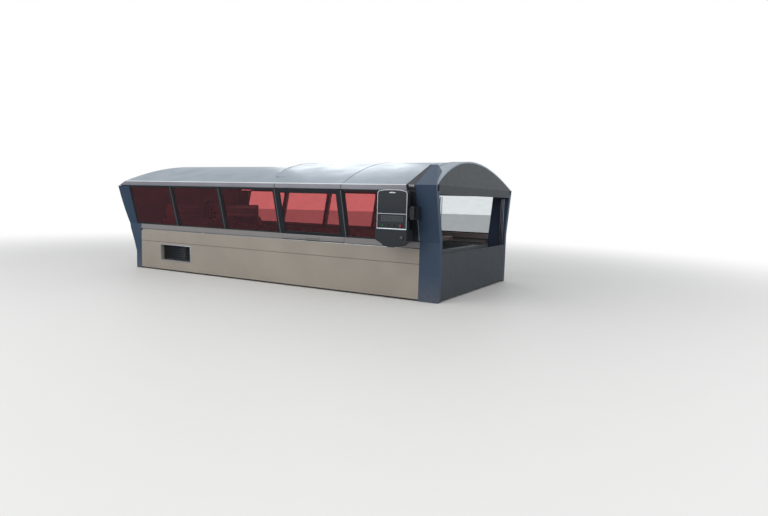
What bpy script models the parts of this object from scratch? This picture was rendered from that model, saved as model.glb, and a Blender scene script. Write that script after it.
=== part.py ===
"""Fiber laser cutting machine: a long enclosure with leaning windows and an arched roof over a
welded bed, a gantry with its cutting head, a slatted pallet and a swivelling console.

Metres, +Z up. The origin is on the floor below the middle of the machine, +X points to the end
that the pallet leaves by, and -Y is the operator's side.
"""
import math

import bmesh
import bpy
import numpy as np
from mathutils import Matrix, Vector

GAP = 0.0003
OVERRUN = 0.05
WELD = 0.00001
SIDES = {"near": -1, "far": 1}

# Bed and enclosure, from the floor up
LENGTH = 7.36
SIDE_HALF_WIDTH = 1.65
SHEET = 0.04
FLOOR_GAP = 0.03
BED_BASE = 0.12
BED_TOP = 0.745
PANEL_SEAM_HEIGHT = 0.588
SEAM_WIDTH = 0.006
PANEL_RISE = 0.085
PANEL_CHAMFER = 0.045
SILL_SHADOW = 0.015
SILL_HEIGHT = 0.095
SILL_DEPTH = 0.10
SILL_WEB = 0.03
WINDOW_HEIGHT = 0.802
EAVE_FLARE = 0.20
FASCIA_HEIGHT = 0.083
EAVE_TURN = 0.02
ARCH_RISE = 0.39
ROOF_SHEET = 0.014
ROOF_STEPS = 18
PANEL_TOP = BED_TOP + PANEL_RISE
SILL_BASE = PANEL_TOP + SILL_SHADOW
SILL_TOP = SILL_BASE + SILL_HEIGHT
EAVE_BASE = SILL_TOP + WINDOW_HEIGHT
EAVE_TOP = EAVE_BASE + FASCIA_HEIGHT
RIDGE = EAVE_TOP + ARCH_RISE

# The two raised lengths of roof, which lap over the left one, and the left one's sloped end
ROOF_STEP = 0.065
ROOF_LAP = 0.355
LAP_SHRINK = 0.002
LAP_JOINT = 0.02
LAP_SPAN_SHARE = 0.84
ROOF_END_SETBACKS = (0.06, 0.20, 0.33)

# Columns and window bays, from the left column to the right one
RIGHT_COLUMN_WIDTH = 0.345
LEFT_COLUMN_SIDE = 0.47
LEFT_POST_SIDE = 0.34
COLUMN_DEPTH = 0.10
BAY_SHARES = (0.248, 0.260, 0.271, 0.280, 0.276)
OPENING_BAY = 3
MULLION_WIDTH = 0.07
MULLION_DEPTH = 0.08
GLASS = 0.010
GLASS_SETBACK = 0.012

# The leaf that opens
LEAF_RAIL = 0.055
LEAF_DEPTH = 0.04
LEAF_GAP = 0.006

# Outline of the left end, as shares of its height and of its lean
LEFT_LEAN = 0.31
LEFT_END_SHARES = ((0.0, 0.0), (0.20, 0.0), (0.33, 0.24), (0.475, 0.57), (0.60, 0.74), (0.72, 0.87),
                   (0.86, 0.96), (1.0, 1.0))

# Right end: the fold of the blue column, its horn, the band beside it and the sloped header
FOLD_RISE = 0.005
FOLD_MARGIN = 0.02
HORN_INSET = 0.36
HORN_CLEARANCE = 0.104
HORN_RUN = 0.24
HOOD_RUN = 0.135
TRIM_WIDTH = 0.16
TRIM_NECK = 0.03
TRIM_RISE = 0.014
HOOD_RISE = 0.012
HEADER_SHEET = 0.02
HEADER_DROP = 0.052
APRON_RISE = 0.005
APRON_SHEET = 0.02
DOOR_COVER = 0.02
DOOR_SHEET = 0.02
DOOR_SETBACK = 0.045
DOOR_STEP = 0.03

# Port in the near lower panel
PORT_INSET = 0.60
PORT_WIDTH = 0.845
PORT_HEIGHT = 0.31
PORT_MARGIN = 0.056
PORT_DEPTH = 0.08
PORT_COLLAR = 0.008
PORT_PLATE = 0.016
PORT_RIM = 0.028
PORT_CLEARANCE = 0.03
LOUVRE_COUNT = 7
LOUVRE_SHARE = 0.42

# Bed beams, feet, rails and the tray below
BED_INSET = 0.33
BED_BEAM = 0.32
BED_BAYS = 6
BED_RIB = 0.14
OUTRIGGER_WIDTH = 0.12
FOOT_RADIUS = 0.09
FOOT_CHAMFER = 0.018
FOOT_PAD = 0.03
FOOT_STUD_RADIUS = 0.03
FOOT_INSET = 0.45
GUIDE_INSET = 0.10
GUIDE_WIDTH = 0.05
GUIDE_WAIST = 0.0334
GUIDE_HEIGHT = 0.045
TRACK_INSET = 0.05
TRACK_WIDTH = 0.04
TRACK_HEIGHT = 0.02
TRAY_DEPTH = 0.045
TRAY_SHEET = 0.005
TRAY_LAP = 0.03

# Pallet
PALLET_LEFT_GAP = 0.19
PALLET_RIGHT_GAP = 0.555
PALLET_RAIL = 0.07
PALLET_HEIGHT = 0.07
SLAT_COUNT = 22
SLAT_SHEET = 0.008
SLAT_SEAT = 0.023
SLAT_RISE = 0.045
SLAT_TOOTH = 0.03
SLAT_TEETH = 18
WHEEL_RADIUS = 0.04
WHEEL_WIDTH = 0.03
WHEEL_CLEARANCE = 0.02
AXLE_RADIUS = 0.014
WHEEL_INSET = 0.5

# Gantry and head, at rest beside the left end
GANTRY_INSET = 0.49
CARRIAGE_LENGTH = 0.56
CARRIAGE_DEPTH = 0.17
BEAM_RISE = 0.335
BEAM_HEIGHT = 0.28
BEAM_WIDTH = 0.24
BEAM_OVERHANG = 0.005
BEAM_CHAMFER = 0.06
MOTOR_RADIUS = 0.045
MOTOR_EDGE = 0.005
MOTOR_HEIGHT = 0.20
PINION_RADIUS = 0.034
PINION_HEIGHT = 0.03
PINION_TEETH = 16
PINION_TOOTH = 0.005
SADDLE_WIDTH = 0.30
SADDLE_DEPTH = 0.07
SADDLE_DROP = 0.03
SADDLE_RISE = 0.09
SADDLE_BEVEL = 0.01
HEAD_Y = -0.35
HEAD_RADIUS = 0.055
HEAD_NECK = 0.0275
HEAD_FOOT = 0.0385
HEAD_SHOULDER = 0.0275
HEAD_STAND_OFF = 0.0254
HEAD_RISE = 0.09
NOZZLE_RADIUS = 0.008
HEAD_SLIDE_WIDTH = 0.14
HEAD_SLIDE_DEPTH = 0.03

# Console
CONSOLE_GAP = 0.035
CONSOLE_WIDTH = 0.52
CONSOLE_RISE = 0.195
CONSOLE_HEIGHT = 0.615
CONSOLE_REACH = 0.40
CONSOLE_THICKNESS = 0.09
CONSOLE_CROWN = 0.018
CONSOLE_CORNER = 0.05
CROWN_SHARES = (0.5, 0.0, -0.5)
CORNER_STEPS = 5
KEYPAD_HEIGHT = 0.25
BEZEL_WIDTH = 0.012
SCREEN_RECESS = 0.006
DESK_DROP = 0.27
DESK_SIDE = 0.16
DESK_ROUND = 0.05
DESK_FOOT_WIDTH = 0.34
DESK_OVERHANG = 0.03
DESK_BACK = 0.12
PIVOT_OFFSET = 0.027
PIVOT_SETBACK = 0.065
PIVOT_RISE = 0.165
PIVOT_HEIGHT = 0.20
PIVOT_RADIUS = 0.026
EAR_THICKNESS = 0.03
EAR_REACH = 0.0364
EAR_LEFT_REACH = 0.0218
WEB_OFFSET = 0.0026
WEB_THICKNESS = 0.018
BUTTON_RADIUS = 0.011
BUTTON_TRAVEL = 0.005
BUTTON_CLEARANCE = 0.0005
CAP_SHARES = (0.8, 0.7)
STEM_SHARE = 0.75
STEM_LENGTH = 0.012
BUTTON_RISE = 0.065
STOP_RADIUS = 0.019
KNOB_RADIUS = 0.014
KNOB_HEIGHT = 0.018
BUTTON_SHARES = (0.2, 0.38, 0.58, 0.8)

# Extraction stub, on the far side
DUCT_RADIUS = 0.16
DUCT_WALL = 0.004
DUCT_FLANGE = 0.035
DUCT_INSET = 0.595
DUCT_HEIGHT = 0.34

RIGHT_END = LENGTH / 2
LEFT_END = -LENGTH / 2
PANEL_RIGHT = RIGHT_END - RIGHT_COLUMN_WIDTH
PANEL_LEFT = LEFT_END + LEFT_COLUMN_SIDE
GLASS_LEFT = LEFT_END + LEFT_POST_SIDE
INNER_FACE = SIDE_HALF_WIDTH - COLUMN_DEPTH
EAVE_HALF_WIDTH = SIDE_HALF_WIDTH + EAVE_FLARE
ARCH_HALF_WIDTH = EAVE_HALF_WIDTH - EAVE_TURN
RAISED_RIDGE = RIDGE + ROOF_STEP
FOLD_Y = EAVE_HALF_WIDTH + FOLD_MARGIN
FOLD_HEIGHT = EAVE_TOP + FOLD_RISE
HORN_Y = SIDE_HALF_WIDTH - HORN_INSET
HORN_HEIGHT = (RAISED_RIDGE - (RAISED_RIDGE - EAVE_TOP) * (HORN_Y / ARCH_HALF_WIDTH) ** 2
               + HOOD_RISE + HORN_CLEARANCE)
HEADER_BASE = EAVE_BASE - HEADER_DROP
APRON_TOP = BED_TOP + APRON_RISE
DOOR_HEIGHT = APRON_TOP - DOOR_COVER - FLOOR_GAP
PORT_LEFT = PANEL_LEFT + PORT_INSET
PORT_BASE = PANEL_SEAM_HEIGHT - PORT_MARGIN - PORT_HEIGHT
BED_HALF_WIDTH = SIDE_HALF_WIDTH - BED_INSET
BED_WELL_HALF_WIDTH = BED_HALF_WIDTH - BED_BEAM
GUIDE_Y = BED_HALF_WIDTH - GUIDE_INSET
TRACK_Y = BED_WELL_HALF_WIDTH + TRACK_INSET
PALLET_LEFT = PANEL_LEFT + PALLET_LEFT_GAP
PALLET_RIGHT = PANEL_RIGHT - PALLET_RIGHT_GAP
PALLET_HALF_WIDTH = TRACK_Y - WHEEL_WIDTH / 2 - WHEEL_CLEARANCE
AXLE_HEIGHT = BED_TOP + TRACK_HEIGHT + GAP + WHEEL_RADIUS
PALLET_BASE = AXLE_HEIGHT + AXLE_RADIUS + GAP
SLAT_TOP = PALLET_BASE + PALLET_HEIGHT + SLAT_RISE
GANTRY_X = PANEL_LEFT + GANTRY_INSET
BEAM_BASE = BED_TOP + BEAM_RISE
BEAM_TOP = BEAM_BASE + BEAM_HEIGHT
BEAM_HALF_LENGTH = GUIDE_Y + CARRIAGE_DEPTH / 2 + BEAM_OVERHANG
SADDLE_BASE = BEAM_BASE - SADDLE_DROP
SADDLE_TOP = BEAM_TOP + SADDLE_RISE
HEAD_BASE = SLAT_TOP + HEAD_STAND_OFF
HEAD_TOP = SADDLE_TOP + HEAD_RISE
CONSOLE_RIGHT = PANEL_RIGHT - CONSOLE_GAP
CONSOLE_LEFT = CONSOLE_RIGHT - CONSOLE_WIDTH
CONSOLE_BASE = SILL_TOP + CONSOLE_RISE
CONSOLE_TOP = CONSOLE_BASE + CONSOLE_HEIGHT
CONSOLE_FRONT = -SIDE_HALF_WIDTH - CONSOLE_REACH
CONSOLE_FACE = CONSOLE_FRONT + SCREEN_RECESS
SCREEN_BASE = CONSOLE_BASE + KEYPAD_HEIGHT
BUTTON_ROW = CONSOLE_BASE + BUTTON_RISE
PIVOT_X = PANEL_RIGHT + PIVOT_OFFSET
PIVOT_Y = CONSOLE_FRONT + PIVOT_SETBACK
PIVOT_BASE = CONSOLE_BASE + PIVOT_RISE
NEAR_REACH = -CONSOLE_FACE + BUTTON_TRAVEL + BUTTON_CLEARANCE + STOP_RADIUS
DUCT_X = PANEL_LEFT + DUCT_INSET

PARTS = "laser_cutting_machine"
CUTTERS = "cutters"


def clear_scene():
    """Empties the scene and makes the two collections."""
    for old in list(bpy.data.objects):
        bpy.data.objects.remove(old, do_unlink=True)
    for name in (PARTS, CUTTERS):
        bpy.context.scene.collection.children.link(bpy.data.collections.new(name))


def make_material(name, colour, roughness, metallic=0.0):
    """A plain Principled material."""
    material = bpy.data.materials.new(name)
    material.use_nodes = True
    shader = material.node_tree.nodes["Principled BSDF"]
    shader.inputs["Base Color"].default_value = (*colour, 1.0)
    shader.inputs["Roughness"].default_value = roughness
    shader.inputs["Metallic"].default_value = metallic
    return material


def finish(name, mesh, material, cutter=False):
    """Puts a mesh in the scene as a part, or as a cutter that isn't drawn."""
    thing = bpy.data.objects.new(name, mesh)
    bpy.data.collections[CUTTERS if cutter else PARTS].objects.link(thing)
    if cutter:
        thing.hide_render = True
        thing.display_type = "WIRE"
    else:
        mesh.materials.append(material)
    return thing


def centre_origin(thing):
    """Moves an object's origin to the middle of its mesh, which stays where it is."""
    corners = np.array([vertex.co for vertex in thing.data.vertices])
    middle = Vector((corners.min(axis=0) + corners.max(axis=0)) / 2)
    thing.data.transform(Matrix.Translation(-middle))
    thing.location = thing.location + middle
    return thing


def set_origin(thing, point):
    """Moves an object's origin to a point, such as one on its joint's axis."""
    shift = thing.location - Vector(point)
    thing.data.transform(Matrix.Translation(shift))
    thing.location = point
    return thing


def box(name, x, y, z, material=None, bevel=0.0, cutter=False):
    """A box between three pairs of limits, with bevelled edges where asked."""
    mesh = bpy.data.meshes.new(name)
    shape = bmesh.new()
    bmesh.ops.create_cube(shape, size=1.0)
    size = Vector((x[1] - x[0], y[1] - y[0], z[1] - z[0]))
    bmesh.ops.scale(shape, vec=size, verts=shape.verts)
    shape.to_mesh(mesh)
    shape.free()
    thing = finish(name, mesh, material, cutter)
    thing.location = ((x[0] + x[1]) / 2, (y[0] + y[1]) / 2, (z[0] + z[1]) / 2)
    if bevel:
        round_edges(thing, bevel)
    return thing


def round_edges(thing, width, segments=1):
    """A live bevel on the sharp edges."""
    modifier = thing.modifiers.new("bevel", "BEVEL")
    modifier.width = width
    modifier.segments = segments
    modifier.limit_method = "ANGLE"
    modifier.angle_limit = math.radians(50)


# How an outline's two directions and its thickness lie in the world
TURNS = {
    "X": Matrix(((0, 0, 1, 0), (1, 0, 0, 0), (0, 1, 0, 0), (0, 0, 0, 1))),
    "Y": Matrix(((1, 0, 0, 0), (0, 0, -1, 0), (0, 1, 0, 0), (0, 0, 0, 1))),
    "Z": Matrix.Identity(4),
}


def prism(name, along, outline, low, high, material=None, holes=(), cutter=False):
    """A flat outline, filled and thickened between two limits along one axis.

    The outline is in (Y, Z) along X, in (X, Z) along Y and in (X, Y) along Z.
    """
    curve = bpy.data.curves.new(name, "CURVE")
    curve.dimensions = "2D"
    curve.fill_mode = "BOTH"
    curve.extrude = (high - low) / 2
    for loop in (outline, *holes):
        spline = curve.splines.new("POLY")
        spline.points.add(len(loop) - 1)
        for point, (u, v) in zip(spline.points, loop):
            point.co = (u, v, 0.0, 1.0)
        spline.use_cyclic_u = True
    guide = bpy.data.objects.new(name, curve)
    bpy.context.scene.collection.objects.link(guide)
    evaluated = guide.evaluated_get(bpy.context.evaluated_depsgraph_get())
    mesh = bpy.data.meshes.new_from_object(evaluated)
    bpy.data.objects.remove(guide, do_unlink=True)
    shape = bmesh.new()
    shape.from_mesh(mesh)
    bmesh.ops.remove_doubles(shape, verts=shape.verts, dist=WELD)
    bmesh.ops.transform(shape, matrix=TURNS[along], verts=shape.verts)
    middle = (low + high) / 2
    shift = {"X": (middle, 0, 0), "Y": (0, middle, 0), "Z": (0, 0, middle)}[along]
    bmesh.ops.translate(shape, vec=shift, verts=shape.verts)
    bmesh.ops.recalc_face_normals(shape, faces=shape.faces)
    shape.to_mesh(mesh)
    shape.free()
    mesh.name = name
    mesh.materials.clear()
    return centre_origin(finish(name, mesh, material, cutter))


def turned(name, profile, origin, direction, material, steps=16, cutter=False):
    """A profile of (radius, height) turned round an axis that starts at origin."""
    mesh = bpy.data.meshes.new(name)
    shape = bmesh.new()
    points = [shape.verts.new((radius, 0.0, height)) for radius, height in profile]
    for first, second in zip(points, points[1:]):
        shape.edges.new((first, second))
    turn = Vector((0, 0, 1)).rotation_difference(Vector(direction)).to_matrix().to_4x4()
    bmesh.ops.spin(shape, geom=shape.verts[:] + shape.edges[:], cent=(0, 0, 0), axis=(0, 0, 1),
                   angle=math.tau, steps=steps, use_merge=True)
    bmesh.ops.remove_doubles(shape, verts=shape.verts, dist=WELD)
    bmesh.ops.transform(shape, matrix=turn, verts=shape.verts)
    bmesh.ops.recalc_face_normals(shape, faces=shape.faces)
    shape.to_mesh(mesh)
    shape.free()
    thing = finish(name, mesh, material, cutter)
    thing.location = origin
    mesh.shade_smooth()
    mesh.set_sharp_from_angle(angle=math.radians(35))
    return thing


def rod(radius, low, high):
    """The profile of a plain round bar, for turning."""
    return ((0.0, high), (radius, high), (radius, low), (0.0, low))


def combine(thing, other, operation, solver="EXACT"):
    """A live Boolean with a cutter."""
    modifier = thing.modifiers.new(operation.lower(), "BOOLEAN")
    modifier.operation = operation
    modifier.object = other
    modifier.solver = solver
    return thing


def flare(height):
    """How far the side stands out at a height: none up to the sill, then a straight lean."""
    share = (height - SILL_TOP) / (EAVE_BASE - SILL_TOP)
    return EAVE_FLARE * max(share, 0.0)


def side_y(height, inset=0.0):
    """The side's distance from the middle at a height, less an inset."""
    return SIDE_HALF_WIDTH + flare(height) - inset


def arch_folds(ridge):
    """The roof's folds: a parabola from the eaves to a ridge, at even steps of width."""
    y = np.linspace(-ARCH_HALF_WIDTH, ARCH_HALF_WIDTH, ROOF_STEPS + 1)
    return y, ridge - (ridge - EAVE_TOP) * (y / ARCH_HALF_WIDTH) ** 2


def arch_points(low, high, lift=0.0, ridge=RAISED_RIDGE):
    """Points along an arch between two distances from the middle, on the same folds as the roof."""
    folds, heights = arch_folds(ridge)
    inside = folds[(folds > low + GAP) & (folds < high - GAP)]
    stations = np.concatenate(([low], inside, [high]))
    return [(float(y), float(z) + lift) for y, z in zip(stations, np.interp(stations, folds, heights))]


def mirrored(points):
    """An outline's points reflected to the far side, in reverse order."""
    return [(-y, z) for y, z in reversed(points)]


def sided(outline, side):
    """An outline of distances from the middle, on the near or far side."""
    return [(side * y, z) for y, z in outline]


def bay_edges():
    """The X of each bay's left edge, and of the last one's right edge."""
    shares = np.cumsum((0.0, *BAY_SHARES)) / sum(BAY_SHARES)
    return [float(x) for x in GLASS_LEFT + (PANEL_RIGHT - GLASS_LEFT) * shares]


def module_edges():
    """The X limits of the three lengths that roof and sill are made in."""
    edges = bay_edges()
    return (LEFT_END, edges[OPENING_BAY], edges[OPENING_BAY + 1], PANEL_RIGHT)


def left_end_outline(inset=0.0):
    """The left end's leaning outline, bottom to top, as (X, Z)."""
    foot = LEFT_END + LEFT_LEAN
    return [(foot - LEFT_LEAN * lean + inset, EAVE_BASE * height)
            for height, lean in LEFT_END_SHARES]


def build_bed(grey, steel):
    """The welded bed: a ladder of box beams with outriggers that carry the side panels."""
    left, right = PANEL_LEFT + GAP, PANEL_RIGHT - GAP
    reach = SIDE_HALF_WIDTH - SHEET - GAP
    centres = np.linspace(left + OUTRIGGER_WIDTH / 2, right - OUTRIGGER_WIDTH / 2, BED_BAYS + 1)
    near = []
    for centre in centres:
        near += [(centre - OUTRIGGER_WIDTH / 2, -BED_HALF_WIDTH), (centre - OUTRIGGER_WIDTH / 2, -reach),
                 (centre + OUTRIGGER_WIDTH / 2, -reach), (centre + OUTRIGGER_WIDTH / 2, -BED_HALF_WIDTH)]
    near = near[1:-1]
    far = [(x, -y) for x, y in reversed(near)]
    holes = []
    for first, second in zip(centres, centres[1:]):
        low, high = first + BED_RIB / 2, second - BED_RIB / 2
        holes.append([(low, -BED_WELL_HALF_WIDTH), (high, -BED_WELL_HALF_WIDTH),
                      (high, BED_WELL_HALF_WIDTH), (low, BED_WELL_HALF_WIDTH)])
    bed = prism("bed_frame", "Z", near + far, BED_BASE, BED_TOP, grey, holes)
    for side_name, side in SIDES.items():
        limits = (side * TRACK_Y - TRACK_WIDTH / 2, side * TRACK_Y + TRACK_WIDTH / 2)
        track = box(f"{side_name}_track", (left + SHEET, right - SHEET), limits,
                    (BED_TOP - TRACK_HEIGHT, BED_TOP + TRACK_HEIGHT), cutter=True)
        combine(bed, track, "UNION", "MANIFOLD")
    behind_port = SIDE_HALF_WIDTH - PORT_DEPTH - PORT_PLATE - PORT_CLEARANCE
    room = box("port_room", (PORT_LEFT - PORT_CLEARANCE, PORT_LEFT + PORT_WIDTH + PORT_CLEARANCE),
               (-SIDE_HALF_WIDTH, -behind_port),
               (BED_BASE - OVERRUN, PORT_BASE + PORT_HEIGHT + PORT_CLEARANCE), cutter=True)
    combine(bed, room, "DIFFERENCE", "MANIFOLD")
    build_tray(centres, steel)


def build_tray(centres, steel):
    """The shallow slag tray that hangs below the bed's wells."""
    reach = BED_WELL_HALF_WIDTH + TRAY_LAP
    ends = (centres[0] - BED_RIB / 2 + TRAY_LAP, centres[-1] + BED_RIB / 2 - TRAY_LAP)
    top = BED_BASE - GAP
    tray = box("slag_tray", ends, (-reach, reach), (top - TRAY_DEPTH, top), steel)
    hollow = box("tray_hollow", (ends[0] + TRAY_SHEET, ends[1] - TRAY_SHEET),
                 (-reach + TRAY_SHEET, reach - TRAY_SHEET), (top - TRAY_DEPTH + TRAY_SHEET, top + OVERRUN),
                 cutter=True)
    combine(tray, hollow, "DIFFERENCE")


def build_feet(steel):
    """Levelling feet: a pad and its stud, turned as one."""
    places = {"left": PANEL_LEFT + FOOT_INSET, "right": PANEL_RIGHT - FOOT_INSET}
    y = (BED_WELL_HALF_WIDTH + BED_HALF_WIDTH) / 2
    profile = ((0.0, BED_BASE - GAP), (FOOT_STUD_RADIUS, BED_BASE - GAP), (FOOT_STUD_RADIUS, FOOT_PAD),
               (FOOT_RADIUS - FOOT_CHAMFER, FOOT_PAD), (FOOT_RADIUS, FOOT_PAD / 2), (FOOT_RADIUS, 0.0),
               (0.0, 0.0))
    for side_name, side in SIDES.items():
        for end, x in places.items():
            turned(f"{side_name}_{end}_foot", profile, (x, side * y, 0.0), (0, 0, 1), steel)


def build_side_panels(ivory):
    """Lower panels and upper strips on both sides, the near lower one with its port."""
    left, right = PANEL_LEFT + GAP, PANEL_RIGHT - GAP
    lower = [(left, FLOOR_GAP), (right, FLOOR_GAP), (right, PANEL_SEAM_HEIGHT), (left, PANEL_SEAM_HEIGHT)]
    base = PANEL_SEAM_HEIGHT + SEAM_WIDTH
    upper = [(left, base), (right, base), (right, PANEL_TOP), (left + PANEL_CHAMFER, PANEL_TOP),
             (left, PANEL_TOP - PANEL_CHAMFER)]
    back, face = SIDE_HALF_WIDTH - SHEET, SIDE_HALF_WIDTH
    panel = prism("near_lower_panel", "Y", lower, -face, -back, ivory)
    depth = PORT_DEPTH + PORT_PLATE
    collar = prism("port_collar", "Y", port_outline(-PORT_COLLAR), -face + SHEET / 2, -face + depth,
                   cutter=True)
    hole = prism("port_hole", "Y", port_outline(0.0), -face - OVERRUN, -back + depth, cutter=True)
    combine(combine(panel, collar, "UNION"), hole, "DIFFERENCE")
    prism("near_upper_panel", "Y", upper, -face, -back, ivory)
    whole = lower[:2] + upper[2:]
    far = prism("far_side_panel", "Y", whole, back, face, ivory)
    groove = box("far_seam", (left - OVERRUN, right + OVERRUN), (face - SEAM_WIDTH, face + OVERRUN),
                 (PANEL_SEAM_HEIGHT, base), cutter=True)
    combine(far, groove, "DIFFERENCE")
    cut_duct_hole(far)


def cut_duct_hole(panel):
    """The hole that the extraction stub passes through."""
    middle = (DUCT_X, SIDE_HALF_WIDTH - SHEET - OVERRUN, DUCT_HEIGHT)
    length = SHEET + 2 * OVERRUN
    cutter = turned("duct_hole", rod(DUCT_RADIUS + GAP, 0.0, length), middle, (0, 1, 0), None,
                    steps=24, cutter=True)
    combine(panel, cutter, "DIFFERENCE")


def build_duct(steel):
    """A flanged stub of round duct, open right through."""
    reach = NEAR_REACH - (SIDE_HALF_WIDTH - SHEET)
    inner = DUCT_RADIUS - DUCT_WALL
    rim = DUCT_RADIUS + DUCT_FLANGE
    profile = ((inner, reach), (rim, reach), (rim, reach - DUCT_WALL), (DUCT_RADIUS, reach - DUCT_WALL),
               (DUCT_RADIUS, 0.0), (inner, 0.0), (inner, reach))
    turned("duct_stub", profile, (DUCT_X, SIDE_HALF_WIDTH - SHEET, DUCT_HEIGHT), (0, 1, 0), steel, steps=24)


def port_outline(inset):
    """The port's rectangle in the near panel, less an inset all round."""
    left, right = PORT_LEFT + inset, PORT_LEFT + PORT_WIDTH - inset
    base, top = PORT_BASE + inset, PORT_BASE + PORT_HEIGHT - inset
    return [(left, base), (right, base), (right, top), (left, top)]


def build_port(dark):
    """The grille at the back of the port's collar: a plate with level slots."""
    low, high = PORT_LEFT + PORT_RIM, PORT_LEFT + PORT_WIDTH - PORT_RIM
    pitch = (PORT_HEIGHT - 2 * PORT_RIM) / LOUVRE_COUNT
    holes = []
    for row in range(LOUVRE_COUNT):
        base = PORT_BASE + PORT_RIM + row * pitch + pitch * LOUVRE_SHARE
        top = PORT_BASE + PORT_RIM + (row + 1) * pitch
        holes.append([(low, base), (high, base), (high, top), (low, top)])
    front = -SIDE_HALF_WIDTH + PORT_DEPTH
    prism("port_grille", "Y", port_outline(GAP), front, front + PORT_PLATE, dark, holes)


def sill_outline():
    """The sill's section: a box rail with a web that stands on the outriggers."""
    web = SIDE_HALF_WIDTH - SHEET - GAP
    inner = SIDE_HALF_WIDTH - SILL_DEPTH
    return [(SIDE_HALF_WIDTH, SILL_BASE), (SIDE_HALF_WIDTH, SILL_TOP), (inner, SILL_TOP),
            (inner, SILL_BASE), (web - SILL_WEB, SILL_BASE - SILL_WEB),
            (web - SILL_WEB, BED_TOP + GAP), (web, BED_TOP + GAP), (web, SILL_BASE)]


def build_sills(grey):
    """Near sill in two lengths, with the opening leaf between them, and the far sill whole."""
    left, right = PANEL_LEFT + GAP, PANEL_RIGHT - GAP
    edges = module_edges()
    prism("near_sill_left", "X", sided(sill_outline(), -1), left, edges[1] + MULLION_WIDTH / 2, grey)
    prism("near_sill_right", "X", sided(sill_outline(), -1), edges[2] - MULLION_WIDTH / 2, right, grey)
    prism("far_sill", "X", sided(sill_outline(), 1), left, right, grey)


def portal_outline(ridge):
    """A bent tube from sill to sill: two leaning posts and a bow under a length of roof."""
    base = SILL_TOP + GAP
    top = EAVE_BASE - ROOF_SHEET
    lift = -ROOF_SHEET - GAP
    span = ARCH_HALF_WIDTH - ROOF_SHEET - EAVE_TURN
    step = side_y(top) - 2 * ROOF_SHEET
    posts = [(-side_y(base), base), (-side_y(top), top), (-step, top)]
    behind_glass = GLASS + GAP
    far_posts = [(step, top), (side_y(top, behind_glass), top), (side_y(base, behind_glass), base)]
    outer = posts + arch_points(-span, span, lift, ridge) + far_posts
    inner_top = top - MULLION_DEPTH
    inner_posts = [(-side_y(base, MULLION_DEPTH), base), (-side_y(inner_top, MULLION_DEPTH), inner_top)]
    inner_span = span - MULLION_DEPTH
    bow = arch_points(-inner_span, inner_span, lift - MULLION_DEPTH, ridge)
    return outer + list(reversed(inner_posts + bow + mirrored(inner_posts)))


def build_portals(dark):
    """One portal at each mullion, those up to the raised roof under the lower ridge."""
    for number, x in enumerate(bay_edges()[1:-1], 1):
        outline = portal_outline(RIDGE if number <= OPENING_BAY else RAISED_RIDGE)
        prism(f"portal_{number}", "X", outline, x - MULLION_WIDTH / 2, x + MULLION_WIDTH / 2, dark)


def pane_outline(base, top):
    """A leaning sheet of glass between two heights."""
    return [(side_y(base, GLASS_SETBACK), base), (side_y(top, GLASS_SETBACK), top),
            (side_y(top, GLASS_SETBACK + GLASS), top), (side_y(base, GLASS_SETBACK + GLASS), base)]


def bay_limits(bay):
    """The clear X limits of a bay, between its mullions or columns."""
    edges = bay_edges()
    low = edges[bay] + (MULLION_WIDTH / 2 if bay else 0.0) + GAP
    high = edges[bay + 1] - (MULLION_WIDTH / 2 if bay + 1 < len(BAY_SHARES) else 0.0) - GAP
    return low, high


def build_panes(glass):
    """Near panes between the posts, and the far side's one long sheet over them."""
    base, top = SILL_TOP + GAP, EAVE_BASE - ROOF_SHEET
    for bay in range(len(BAY_SHARES)):
        low, high = bay_limits(bay)
        if bay != OPENING_BAY:
            prism(f"near_window_{bay + 1}", "X", sided(pane_outline(base, top), -1), low, high, glass)
    sheet = [(side_y(base), base), (side_y(top), top), (side_y(top, GLASS), top),
             (side_y(base, GLASS), base)]
    prism("far_window", "X", sheet, GLASS_LEFT + GAP, PANEL_RIGHT - GAP, glass)


def build_leaf(grey, glass):
    """The leaf that opens: a folded frame with a pane, hung from its top edge."""
    low, high = bay_limits(OPENING_BAY)
    base, top = SILL_BASE, EAVE_BASE - LEAF_GAP
    outline = [(SIDE_HALF_WIDTH, base), (SIDE_HALF_WIDTH, SILL_TOP), (side_y(top), top),
               (side_y(top, LEAF_DEPTH), top), (SIDE_HALF_WIDTH - LEAF_DEPTH, SILL_TOP),
               (SIDE_HALF_WIDTH - LEAF_DEPTH, base)]
    frame = prism("leaf_frame", "X", sided(outline, -1), low, high, grey)
    glass_base, glass_top = SILL_TOP + LEAF_RAIL / 2, top - LEAF_RAIL
    glass_low, glass_high = low + LEAF_RAIL, high - LEAF_RAIL
    hole = box("leaf_hole", (glass_low, glass_high), (-EAVE_HALF_WIDTH - OVERRUN, -INNER_FACE),
               (glass_base, glass_top), cutter=True)
    combine(frame, hole, "DIFFERENCE")
    axis_point = (low, -side_y(top), top)
    set_origin(frame, axis_point)
    pane = prism("leaf_window", "X", sided(pane_outline(glass_base + GAP, glass_top - GAP), -1),
                 glass_low + GAP, glass_high - GAP, glass)
    set_origin(pane, axis_point)


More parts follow.
